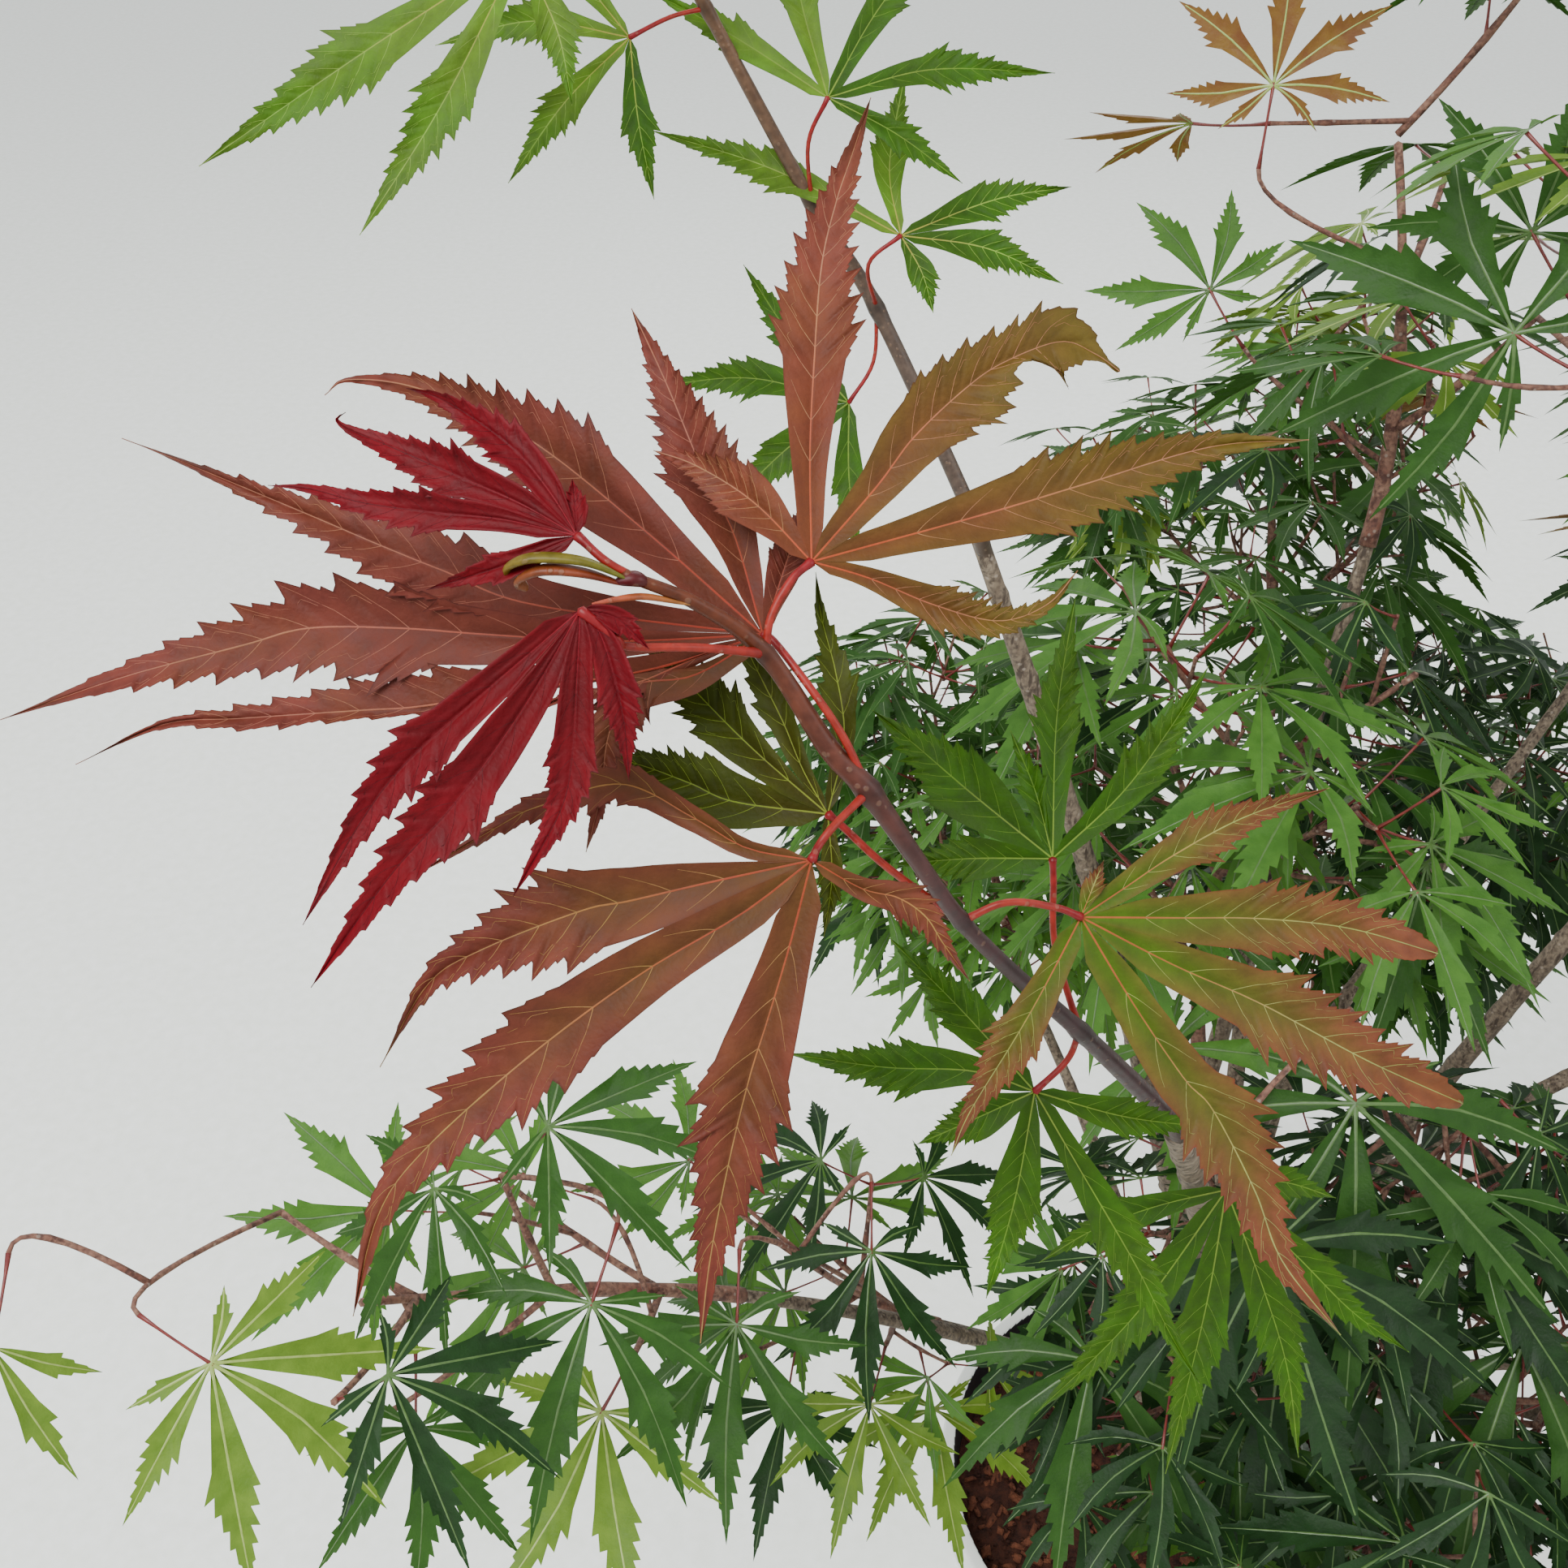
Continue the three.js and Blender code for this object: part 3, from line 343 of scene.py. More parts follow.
class Finish:
    """A material under construction, with short ways to add the nodes that most of them share.
    An input is fed by another node's output, a web colour or a plain value."""

    def __init__(self, name, roughness=0.5, specular=0.5):
        self.material = bpy.data.materials.new(name)
        self.material.use_nodes = True
        self.nodes = self.material.node_tree.nodes
        self.links = self.material.node_tree.links
        self.shader = self.nodes["Principled BSDF"]
        self.shader.inputs["Roughness"].default_value = roughness
        self.shader.inputs["Specular IOR Level"].default_value = specular
        self.place = self.nodes.new("ShaderNodeTexCoord").outputs["Object"]

    def feed(self, socket, value):
        if isinstance(value, bpy.types.NodeSocket):
            self.links.new(value, socket)
        else:
            socket.default_value = rgba(value) if isinstance(value, str) else value

    def node(self, kind, output, **values):
        node = self.nodes.new(kind)
        for name, value in values.items():
            self.feed(node.inputs[name], value)
        return node.outputs[output]

    def tint(self):
        node = self.nodes.new("ShaderNodeAttribute")
        node.attribute_name = "tint"
        return node.outputs["Color"]

    def noise(self, scale, detail=3, stretch=(1, 1, 1), rough=0.55):
        place = self.node("ShaderNodeMapping", "Vector", Scale=stretch, Vector=self.place)
        return self.node(
            "ShaderNodeTexNoise", "Fac", Scale=scale, Detail=detail, Roughness=rough, Vector=place
        )

    def cells(self, scale, feature="F1"):
        node = self.nodes.new("ShaderNodeTexVoronoi")
        node.feature = feature
        self.feed(node.inputs["Scale"], scale)
        self.feed(node.inputs["Vector"], self.place)
        return node.outputs["Distance"]

    def ramp(self, value, low, high, first=BLACK, last=WHITE):
        node = self.nodes.new("ShaderNodeValToRGB")
        for stop, position, colour in zip(node.color_ramp.elements, (low, high), (first, last)):
            stop.position = position
            stop.color = colour
        self.feed(node.inputs["Fac"], value)
        return node.outputs["Color"]

    def mix(self, share, first, last, way="MIX"):
        node = self.nodes.new("ShaderNodeMix")
        node.data_type = "RGBA"
        node.blend_type = way
        for name, value in zip(("Factor", "A", "B"), (share, first, last)):
            self.feed(node.inputs[name], value)
        return node.outputs["Result"]

    def dapple(self, value, low, high, first, last):
        """The first colour where a value is low, and the last where it is high"""
        return self.mix(self.ramp(value, low, high), first, last)

    def times(self, colour, *factors):
        return self.mix(1.0, colour, (*factors, 1), "MULTIPLY")

    def colour(self, socket):
        self.links.new(socket, self.shader.inputs["Base Color"])

    def roughness(self, value, low, high):
        grey = self.ramp(value, 0.3, 0.7, (low,) * 3 + (1,), (high,) * 3 + (1,))
        self.links.new(grey, self.shader.inputs["Roughness"])

    def bump(self, value, strength, distance):
        normal = self.node("ShaderNodeBump", "Normal", Strength=strength, Distance=distance, Height=value)
        self.links.new(normal, self.shader.inputs["Normal"])
        return normal

    def let_light_through(self, colour, normal, share):
        """Light that falls on the far side of a leaf glows through it"""
        glow = self.node("ShaderNodeBsdfTranslucent", "BSDF", Color=colour, Normal=normal)
        both = self.nodes.new("ShaderNodeMixShader")
        for name, value in (("Fac", share), (1, self.shader.outputs["BSDF"]), (2, glow)):
            self.feed(both.inputs[name], value)
        self.links.new(both.outputs["Shader"], self.nodes["Material Output"].inputs["Surface"])


def leaf_finish(name, code, other, glow):
    """A blade's tint with soft mottling, its fine net of veins and a light satin gloss"""
    finish = Finish(name, specular=0.18)
    mottle = finish.noise(130, detail=4)
    net = finish.cells(700, "DISTANCE_TO_EDGE")
    finish.colour(finish.dapple(mottle, 0.35, 0.68, code, other))
    finish.roughness(mottle, 0.42, 0.6)
    normal = finish.bump(finish.mix(0.45, finish.noise(700, detail=2), net), strength=0.35, distance=0.0006)
    finish.let_light_through(glow, normal, 0.18)
    return finish.material


def near_leaf_finish(name):
    """The same for the near leaves, whose tint is dealt out along each lobe"""
    finish = Finish(name, specular=0.16)
    tint = finish.tint()
    mottle = finish.noise(260, detail=6, rough=0.68)
    blotches = finish.noise(70)
    net = finish.cells(1100, "DISTANCE_TO_EDGE")
    dark = finish.times(tint, 0.8, 0.76, 0.78)
    light = finish.times(tint, 1.12, 1.12, 1.08)
    colour = finish.dapple(mottle, 0.32, 0.7, dark, light)
    finish.colour(finish.dapple(blotches, 0.42, 0.62, colour, finish.times(colour, 0.94, 1.1, 0.85)))
    finish.roughness(mottle, 0.5, 0.66)
    normal = finish.bump(finish.mix(0.4, finish.noise(800, detail=4), net), strength=0.4, distance=0.00045)
    finish.let_light_through(light, normal, 0.16)
    return finish.material


def stalk_finish(name, code, other):
    """Smooth young bark with fine lengthwise streaks"""
    finish = Finish(name, roughness=0.42, specular=0.5)
    streaks = finish.noise(420)
    finish.colour(finish.dapple(streaks, 0.35, 0.65, code, other))
    finish.bump(streaks, strength=0.25, distance=0.0003)
    return finish.material


def stem_finish(name):
    finish = Finish(name, specular=0.25)
    tint = finish.tint()
    grain = finish.noise(500, detail=4)
    dark = finish.times(tint, 0.6, 0.6, 0.62)
    spots = finish.ramp(finish.cells(520), 0.16, 0.24, WHITE, BLACK)
    colour = finish.dapple(grain, 0.35, 0.65, dark, tint)
    finish.colour(finish.mix(finish.mix(0.75, spots, BLACK), colour, "#7c624e"))
    finish.roughness(grain, 0.34, 0.55)
    finish.bump(finish.mix(0.5, grain, spots), strength=0.4, distance=0.0004)
    return finish.material


def bark_finish(name, dark, middle, pale, stretch):
    """Grey-brown bark: long pale streaks, fine cracks and pale pores"""
    finish = Finish(name, specular=0.3)
    streaks = finish.noise(110, detail=6, stretch=stretch, rough=0.65)
    grain = finish.noise(600, detail=5)
    pores = finish.ramp(finish.cells(260), 0.1, 0.2, WHITE, BLACK)
    cracks = finish.ramp(finish.noise(240, detail=4, stretch=stretch), 0.36, 0.46)
    colour = finish.dapple(streaks, 0.34, 0.66, middle, pale)
    colour = finish.dapple(grain, 0.3, 0.6, dark, colour)
    colour = finish.mix(cracks, dark, colour)
    finish.colour(finish.mix(finish.mix(0.6, pores, BLACK), colour, "#a79a8c"))
    finish.roughness(grain, 0.62, 0.9)
    finish.bump(finish.mix(0.5, finish.mix(0.5, grain, cracks), streaks), strength=0.6, distance=0.0012)
    return finish.material


def pot_finish(name, code, other, roughness):
    """Moulded plastic: faint flow marks, fine scuffs, and dust that has dried on it"""
    finish = Finish(name, specular=0.45)
    flow = finish.noise(14, stretch=(1, 1, 6))
    dust = finish.noise(55, detail=6, rough=0.7)
    scuffs = finish.ramp(finish.noise(120, detail=2, stretch=(9, 9, 1)), 0.62, 0.7)
    colour = finish.dapple(flow, 0.3, 0.7, code, other)
    finish.colour(finish.mix(finish.mix(0.7, finish.ramp(dust, 0.55, 0.8), BLACK), colour, "#9a8f80"))
    finish.roughness(dust, roughness, roughness + 0.2)
    finish.bump(finish.mix(0.35, finish.noise(500), scuffs), strength=0.18, distance=0.0006)
    return finish.material


def soil_finish(name, code, other):
    finish = Finish(name, specular=0.2)
    clods = finish.noise(160, detail=8, rough=0.7)
    finish.colour(finish.dapple(clods, 0.35, 0.68, code, other))
    finish.roughness(clods, 0.75, 1.0)
    finish.bump(finish.mix(0.5, clods, finish.noise(900, detail=4)), strength=0.9, distance=0.002)
    return finish.material


def floor_finish(name):
    finish = Finish(name, specular=0.3)
    specks = finish.noise(90, detail=4)
    finish.colour(finish.dapple(specks, 0.3, 0.7, "#f0f3e9", "#f9fbf4"))
    finish.roughness(specks, 0.6, 0.75)
    return finish.material


FINISHES = {
    name: make(name, *facts) for name, make, *facts in [
        ("leaf_deep", leaf_finish, "#1f3e10", "#2a4c17", "#446f22"),
        ("leaf_mid", leaf_finish, "#345a1c", "#446c26", "#668f34"),
        ("leaf_bright", leaf_finish, "#4a681a", "#5e7a26", "#7a9638"),
        # The darkest green is painted shade for leaves low and deep in the crown
        ("leaf_painted_shade", leaf_finish, "#12280f", "#1b3716", "#2c4a1e"),
        ("leaf_bronze", leaf_finish, "#6e5222", "#603a22", "#8c682e"),
        ("leaf_vein", stalk_finish, "#38541f", "#446228"),
        ("leaf_vein_pale", stalk_finish, "#7e9240", "#8c9e50"),
        ("near_leaf", near_leaf_finish),
        ("near_stem", stem_finish),
        ("stalk", stalk_finish, "#5c1a18", "#70281f"),
        ("twig", bark_finish, "#4a3029", "#6b4438", "#8a6a58", (1, 1, 1)),
        ("bark", bark_finish, "#40352c", "#665849", "#867866", (2.2, 2.2, 0.5)),
        ("pot_white", pot_finish, "#dfe3da", "#e6e8e0", 0.36),
        ("pot_black", pot_finish, "#161616", "#202020", 0.45),
        ("soil", soil_finish, "#24130e", "#4a2a1e"),
        ("chip", soil_finish, "#4a281c", "#7a4a34"),
        ("floor", floor_finish),
    ]
}


# Meshes


class Shape:
    """Points, triangles, each triangle's material and each point's tint, gathered into one mesh"""

    def __init__(self):
        self.points = []
        self.faces = []
        self.kinds = []
        self.tints = []
        self.count = 0

    def add(self, points, faces, kind=0, tints=None):
        points = np.asarray(points, float).reshape(-1, 3)
        faces = np.asarray(faces).reshape(-1, 3)
        self.points.append(points)
        self.faces.append(faces + self.count)
        self.kinds.append(np.broadcast_to(kind, len(faces)))
        self.tints.append(np.broadcast_to((1, 1, 1) if tints is None else tints, (len(points), 3)))
        self.count += len(points)

    def piece(self, name, finishes, slot, nodes):
        mesh = bpy.data.meshes.new(name)
        points = np.concatenate(self.points) * MM
        faces = np.concatenate(self.faces)
        mesh.vertices.add(len(points))
        mesh.vertices.foreach_set("co", points.astype(np.float32).ravel())
        mesh.loops.add(faces.size)
        mesh.loops.foreach_set("vertex_index", faces.astype(np.int32).ravel())
        mesh.polygons.add(len(faces))
        mesh.polygons.foreach_set("loop_start", np.arange(0, faces.size, 3, dtype=np.int32))
        mesh.polygons.foreach_set("material_index", np.concatenate(self.kinds).astype(np.int32))
        mesh.polygons.foreach_set("use_smooth", np.ones(len(faces), bool))
        mesh.update(calc_edges=True)
        tints = np.ones((len(points), 4), np.float32)
        tints[:, :3] = np.concatenate(self.tints)
        mesh.color_attributes.new("tint", "FLOAT_COLOR", "POINT").data.foreach_set("color", tints.ravel())
        for finish in finishes:
            mesh.materials.append(FINISHES[finish])
        dress(bpy.data.objects.new(name, mesh), nodes)


def dress(piece, nodes):
    """Puts a piece in the scene, in place of the nodes it stands for"""
    bpy.context.scene.collection.objects.link(piece)
    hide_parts(*nodes)
    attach(piece, "root")


NEARLY_UP = [0.3, 0.2, 1.0]
STEEP = 0.9
FOOT_CONE = 0.3
HEAD_CONE = 0.7


def grid_faces(rows, columns, closed=False):
    """Two triangles for each cell of a grid of points, which closed joins round into a tube"""
    row = np.arange(rows - 1)[:, None] * columns
    column = np.arange(columns if closed else columns - 1)[None, :]
    a = row + column
    b = row + (column + 1) % columns
    return np.stack([a, b, b + columns, a, b + columns, a + columns], -1).reshape(-1, 3)


def rings(line, radii, sides):
    """Rings of points round a line, each square to it and none twisted against the last"""
    along = units(np.gradient(line, axis=0))
    side = unit(np.cross(along[0], NEARLY_UP if abs(along[0][2]) < STEEP else ACROSS))
    angles = round_angles(sides)
    radii = np.broadcast_to(np.asarray(radii, float).reshape(len(line), -1), (len(line), sides))
    loops = []
    for centre, direction, radius in zip(line, along, radii):
        side = unit(side - direction * side.dot(direction))
        other = np.cross(direction, side)
        ring = np.cos(angles)[:, None] * side + np.sin(angles)[:, None] * other
        loops.append(centre + ring * radius[:, None])
    return np.array(loops), along


def add_tube(shape, line, radii, sides, kind=0, tints=None):
    """A tube along a line, closed at both ends by low cones"""
    line = np.asarray(line, float)
    loops, along = rings(line, radii, sides)
    ends = [line[0] - along[0] * FOOT_CONE, line[-1] + along[-1] * np.min(np.atleast_1d(radii)) * HEAD_CONE]
    points = np.vstack([loops.reshape(-1, 3), ends])
    count = len(line) * sides
    turn = np.arange(sides)
    after = (turn + 1) % sides
    last = count - sides
    foot = np.stack([after, turn, np.full(sides, count)], -1)
    head = np.stack([last + turn, last + after, np.full(sides, count + 1)], -1)
    if tints is not None:
        rows = np.repeat(np.asarray(tints, float).reshape(len(line), 3), sides, axis=0)
        tints = np.vstack([rows, rows[0], rows[-1]])
    shape.add(points, np.vstack([grid_faces(len(line), sides, True), foot, head]), kind, tints)


def ripple(draw, rounds, waves):
    """A smooth random relief over a tube: a function of the angle round it and the length along it"""
    terms = [
        (turns, next(draw) * 2 * math.pi, (next(draw) - 0.5) * waves, 0.5 + next(draw)) for turns in rounds
    ]

    def relief(angle, length):
        return sum(
            size * np.sin(turns * angle + pitch * length + phase) for turns, phase, pitch, size in terms
        ) / len(terms)
    return relief


# Limbs


class Limb:
    def __init__(self, path, radii, steps):
        self.path = path
        self.radii = radii
        self.steps = steps
        self.points = path.points(steps)


def make_limbs():
    foot = np.array([0, 0, SOIL_TOP + GAP])
    top = np.array(TRUNK_TOP, float)
    limbs = {"trunk": Limb(Bend(foot, [0, 0, (foot[2] + top[2]) / 2], top), TRUNK_RADII, TRUNK_STEPS)}
    for name, (parent, at, tip, arch, radii) in BOUGHS.items():
        start = limbs[parent].path.point(at)
        over = (start + tip) / 2 + UP * arch
        limbs[name] = Limb(Bend(start, over, tip), radii, BOUGH_STEPS)
    return limbs


LIMBS = make_limbs()
LIMB_STARTS = np.concatenate([limb.points[:-1] for limb in LIMBS.values()])
LIMB_ENDS = np.concatenate([limb.points[1:] for limb in LIMBS.values()])
LIMB_RADII = np.concatenate([
    limb.radii[0] + (limb.radii[1] - limb.radii[0]) * np.arange(limb.steps) / limb.steps
    for limb in LIMBS.values()
])


# Bark: sides of the tube, length of a row, ridges round it, and the least room between two joints
TRUNK_BARK = (60, 2, [3, 5, 8, 11, 13, 17], 16)
BOUGH_BARK = (24, 3.5, [2, 3, 5, 7], 26)
BARK_SEED = 301
RIDGE_WAVES = 0.25
RIDGE_SIZE = 0.05
LUMP_ROUNDS = [1, 2, 0, 1]
LUMP_WAVES = 0.16
LUMP_SIZE = 0.07
FORK_SHARE = 0.95
FORK_NARROWING = 0.3
FOOT_SWELLING = 0.45
FOOT_LENGTH = 9
FIRST_JOINT = (14, 24)
LAST_JOINT = 8
JOINT_SPREAD = 22
JOINT_SWELLING = 0.14
JOINT_BREADTH = 1.6


def dress_limb(name, limb, seed):
    """Bark over one limb: a swollen foot, rings where twigs stood, and long shallow ridges"""
    draw = seeded(seed)
    trunk = name == "trunk"
    sides, row, rounds, room = TRUNK_BARK if trunk else BOUGH_BARK
    length = np.linalg.norm(np.diff(limb.points, axis=0), axis=1).sum()
    share = np.linspace(0, 1, int(length / row) + 1)
    away = share * length
    angle = round_angles(sides)
    radius = between(limb.radii, share)
    ridges = ripple(draw, rounds, RIDGE_WAVES)
    lumps = ripple(draw, LUMP_ROUNDS, LUMP_WAVES)
    relief = RIDGE_SIZE * ridges(angle[None], away[:, None]) + LUMP_SIZE * lumps(angle[None], away[:, None])
    if trunk:
        wave = 1 - FLARE_WAVE + FLARE_WAVE * np.cos(FLARE_ROOTS * angle)
        radius = radius[:, None] + FLARE_RADIUS * np.exp(-share / FLARE_FADE)[:, None] * wave
        radius = radius * (1 - FORK_NARROWING * smoothstep(FORK_SHARE, 1, share))[:, None]
    else:
        radius = (radius * (1 + FOOT_SWELLING * np.exp(-away / FOOT_LENGTH)))[:, None]
    joint = between(FIRST_JOINT, next(draw))
    while joint < length - LAST_JOINT:
        radius = radius * (1 + JOINT_SWELLING * bell(away - joint, JOINT_BREADTH))[:, None]
        joint += room + JOINT_SPREAD * next(draw)
    shape = Shape()
    add_tube(shape, [limb.path.point(s) for s in share], radius * (1 + relief), sides)
    shape.piece(name + "_bark", ["bark"], "bark", [name])


# Growth of the masses


class Mass:
    def __init__(self, index, name, bough, middle, reach, seed, odds):
        self.index = index
        self.name = name
        self.bough = bough
        self.middle = np.array(middle, float)
        self.reach = reach
        self.seed = seed
        self.odds = np.cumsum(odds) / sum(odds)
        half = np.linalg.norm(LIMB_ENDS - LIMB_STARTS, axis=1) / 2
        away = np.linalg.norm((LIMB_STARTS + LIMB_ENDS) / 2 - self.middle, axis=1)
        self.near_limbs = away - half < reach + LIMB_LOOK_ROUND


ALL_MASSES = [
    Mass(index, name, *facts) for index, (name, facts) in enumerate(MASSES.items(), len(MEASURED_SPACES))
]
MIDDLES = np.array([middle for middle, _ in MEASURED_SPACES] + [mass.middle for mass in ALL_MASSES], float)
REACHES = np.array([reach for _, reach in MEASURED_SPACES] + [mass.reach for mass in ALL_MASSES], float)


def inside_space(mass, points):
    """A mass keeps to the places nearer to its own middle than to any other's, each weighed by its reach"""
    away = ((np.atleast_2d(points)[:, None] - MIDDLES) ** 2).sum(-1) - REACHES**2
    own = away[:, mass.index, None]
    spread = np.linalg.norm(MIDDLES - mass.middle, axis=1)
    others = spread > 0
    margin = (away[:, others] - own) / (2 * spread[others])
    return bool((margin >= SPACE_MARGIN).all() and (own < 0).all())


def distances(a, b, c, d):
    """The distance from each straight piece a-b to each straight piece c-d"""
    u = (b - a)[:, None]
    v = (d - c)[None]
    w = a[:, None] - c[None]
    uu = (u * u).sum(-1)
    vv = (v * v).sum(-1)
    uv = (u * v).sum(-1)
    uw = (u * w).sum(-1)
    vw = (v * w).sum(-1)
    wide = uu * vv - uv * uv
    s = np.where(wide > 1e-9, (uv * vw - vv * uw) / np.where(wide > 1e-9, wide, 1), 0).clip(0, 1)
    t = ((uv * s + vw) / vv).clip(0, 1)
    s = ((uv * t - uw) / uu).clip(0, 1)
    return np.linalg.norm(w + s[..., None] * u - t[..., None] * v, axis=-1)


def clear_of_limbs(starts, ends, thickness, mass):
    near = mass.near_limbs
    gaps = distances(np.atleast_2d(starts), np.atleast_2d(ends), LIMB_STARTS[near], LIMB_ENDS[near])
    return bool((gaps >= LIMB_RADII[near] + thickness + LIMB_MARGIN).all())


LOBES = np.array([
    (length * math.cos(math.radians(angle)), length * math.sin(math.radians(angle)), length)
    for angle, length in zip(LOBE_ANGLES, LOBE_LENGTHS)
])


class Leaf:
    """A leaf as straight pieces: its lobes and its stalk"""

    def __init__(self, foot, hub, heading, normal, size, shoot=None, kind=None):
        self.foot = foot
        self.hub = hub
        self.heading = heading
        self.normal = normal
        self.size = size
        self.shoot = shoot
        self.kind = kind
        side = np.cross(normal, heading)
        self.tips = hub + size * LOBES @ np.stack([heading, side, -LEAF_DROOP * UP])
        self.starts = np.repeat(hub[None], len(self.tips) + 1, axis=0)
        self.ends = np.vstack([self.tips, hub + (foot - hub) * STALK_FREE_SHARE])


class Shoot:
    def __init__(self, path, steps, foot_share, radii, spray):
        points = path.points(steps)
        self.path = path
        self.spray = spray
        self.radii = radii
        self.starts = points[:-1].copy()
        self.starts[0] += (points[1] - points[0]) * foot_share
        self.ends = points[1:]

    def sites(self, turn, sizes):
        """The places for its leaves, each turned a quarter against the last"""
        return [
            Site(self, self.path.point(share), self.path.tangent(share), turn + i * math.pi / 2, size)
            for i, (share, size) in enumerate(zip(SHOOT_LEAF_SHARES, sizes))
        ]


class Site:
    """A place on a shoot where two leaves stand opposite each other"""

    def __init__(self, shoot, foot, along, turn, size):
        self.shoot = shoot
        self.foot = foot
        self.along = along
        self.flat, self.rise = crosswise(along)
        self.turn = turn
        self.size = LEAF_LENGTH * size


class Growth:
    def __init__(self, stem):
        self.shoots = [stem]
        self.leaves = []


class Taken:
    """What has grown in a mass so far, as straight pieces with a ball round each leaf and shoot"""

    def __init__(self, items):
        self.items = []
        self.hubs = np.empty((0, 3))
        self.sizes = np.empty(0)
        for item in items:
            self.add(item)

    def add(self, item):
        hub, size = ball_of(item)
        self.items.append(item)
        self.hubs = np.vstack([self.hubs, hub])
        self.sizes = np.append(self.sizes, size)

    def clear_of(self, item, gap):
        hub, size = ball_of(item)
        away = self.hubs - hub
        near = np.nonzero((away * away).sum(1) <= (self.sizes + size + gap) ** 2)[0]
        if not len(near):
            return True
        starts = np.concatenate([self.items[i].starts for i in near])
        ends = np.concatenate([self.items[i].ends for i in near])
        return bool((distances(item.starts, item.ends, starts, ends) > gap).all())


def ball_of(item):
    points = np.concatenate([item.starts, item.ends])
    hub = (points.min(0) + points.max(0)) / 2
    return hub, math.sqrt(((points - hub) ** 2).sum(1).max())


def leaf_fits(mass, leaf, taken, gap):
    if not inside_space(mass, leaf.tips) or not clear_of_limbs(leaf.starts, leaf.ends, BLADE_MARGIN, mass):
        return False
    return taken.clear_of(leaf, gap)


def crosswise(along):
    """The two directions square to a twig: level, and as near to upright as can be"""
    flat = unit(np.cross(along, UP))
    return flat, np.cross(flat, along)


def try_leaf(site, sign, draw):
    """One way for a leaf to stand at its site: its stalk leaves on one side, its blade hangs level or nods"""
    stalk = between(STALK_LENGTHS, next(draw))
    nod = math.radians(between(LEAF_NODS, next(draw)))
    turn = site.turn + (next(draw) - 0.5) * STALK_TWIST
    ahead = between(STALK_AHEAD, next(draw))
    share = between(LEAF_SIZES, next(draw))
    across = site.flat * math.cos(turn) + site.rise * math.sin(turn)
    out = unit(site.along * ahead + across * sign + UP * STALK_RISE)
    level = unit(np.array([out[0], out[1], 0]))
    stalk *= min(1, site.size / LEAF_LENGTH + SMALL_LEAF_STALK)
    heading = level * math.cos(nod) - UP * math.sin(nod)
    normal = level * math.sin(nod) + UP * math.cos(nod)
    return Leaf(site.foot, site.foot + out * stalk, heading, normal, site.size * share, site.shoot)


def grow_leaves(mass, grown, sites, draw, gap, tries):
    taken = Taken([*grown.shoots, *grown.leaves])
    for site in sites:
        for sign in (1, -1):
            for _ in range(tries):
                leaf = try_leaf(site, sign, draw)
                if leaf_fits(mass, leaf, taken, gap):
                    grown.leaves.append(leaf)
                    taken.add(leaf)
                    break


def shoot_path(start, direction, length):
    """A shoot's way from its foot to its raised tip, sagging a little half way"""
    middle = start + direction * length / 2 - UP * SHOOT_SAG * length
    return Bend(start, middle, start + direction * length + UP * SHOOT_RISE * length)


def stem_path(mass):
    """The stem of a mass, from just past its bough's tip to beyond the middle of its space"""
    bough = LIMBS[mass.bough].path
    along = bough.tangent(1)
    foot = bough.point(1) + along * GAP
    far = mass.middle + (mass.middle - foot) * STEM_PAST_MIDDLE
    lead = foot + along * np.linalg.norm(far - foot) * STEM_LEAD
    return Bend(foot, lead, far)


def side_direction(along, angle, sign):
    flat, rise = crosswise(along)
    spread = flat * math.cos(angle) + rise * math.sin(angle)
    return along * math.cos(SHOOT_ANGLE) + spread * sign * math.sin(SHOOT_ANGLE)


def grow_mass(mass):
    """The twigs and leaves that the solids have"""
    draw = seeded(mass.seed)
    stem = stem_path(mass)
    radii = [LIMBS[mass.bough].radii[1] * STEM_WIDER, FINE_STEM_TIP_RADIUS]
    grown = Growth(Shoot(stem, STEM_JOINTS, 0, radii, 0))
    sites = []
    turn = next(draw) * math.pi
    for joint in range(1, STEM_JOINTS + 1):
        share = joint / (STEM_JOINTS + STEM_END_SHARE)
        start = stem.point(share)
        for sign in (1, -1):
            direction = side_direction(stem.tangent(share), turn + joint * math.pi / 2, sign)
            path = shoot_path(start, direction, mass.reach * between(SHOOT_LENGTHS, next(draw)))
            end = path.places[-1]
            clear_from = start + (end - start) * SHOOT_CLEAR_SHARE
            if inside_space(mass, end) and clear_of_limbs(clear_from, end, SHOOT_FOOT_RADIUS, mass):
                shoot = Shoot(path, 2, SHOOT_FOOT_SHARE, SHOOT_RADII, len(grown.shoots))
                grown.shoots.append(shoot)
                sites += shoot.sites(next(draw) * math.pi, [1, 1])
    last = stem.point(LAST_LEAF_SHARE)
    sites.append(Site(grown.shoots[0], last, stem.tangent(1), turn, LAST_LEAF_SIZE))
    grow_leaves(mass, grown, sites, draw, LEAF_GAP, LEAF_TRIES)
    return grown


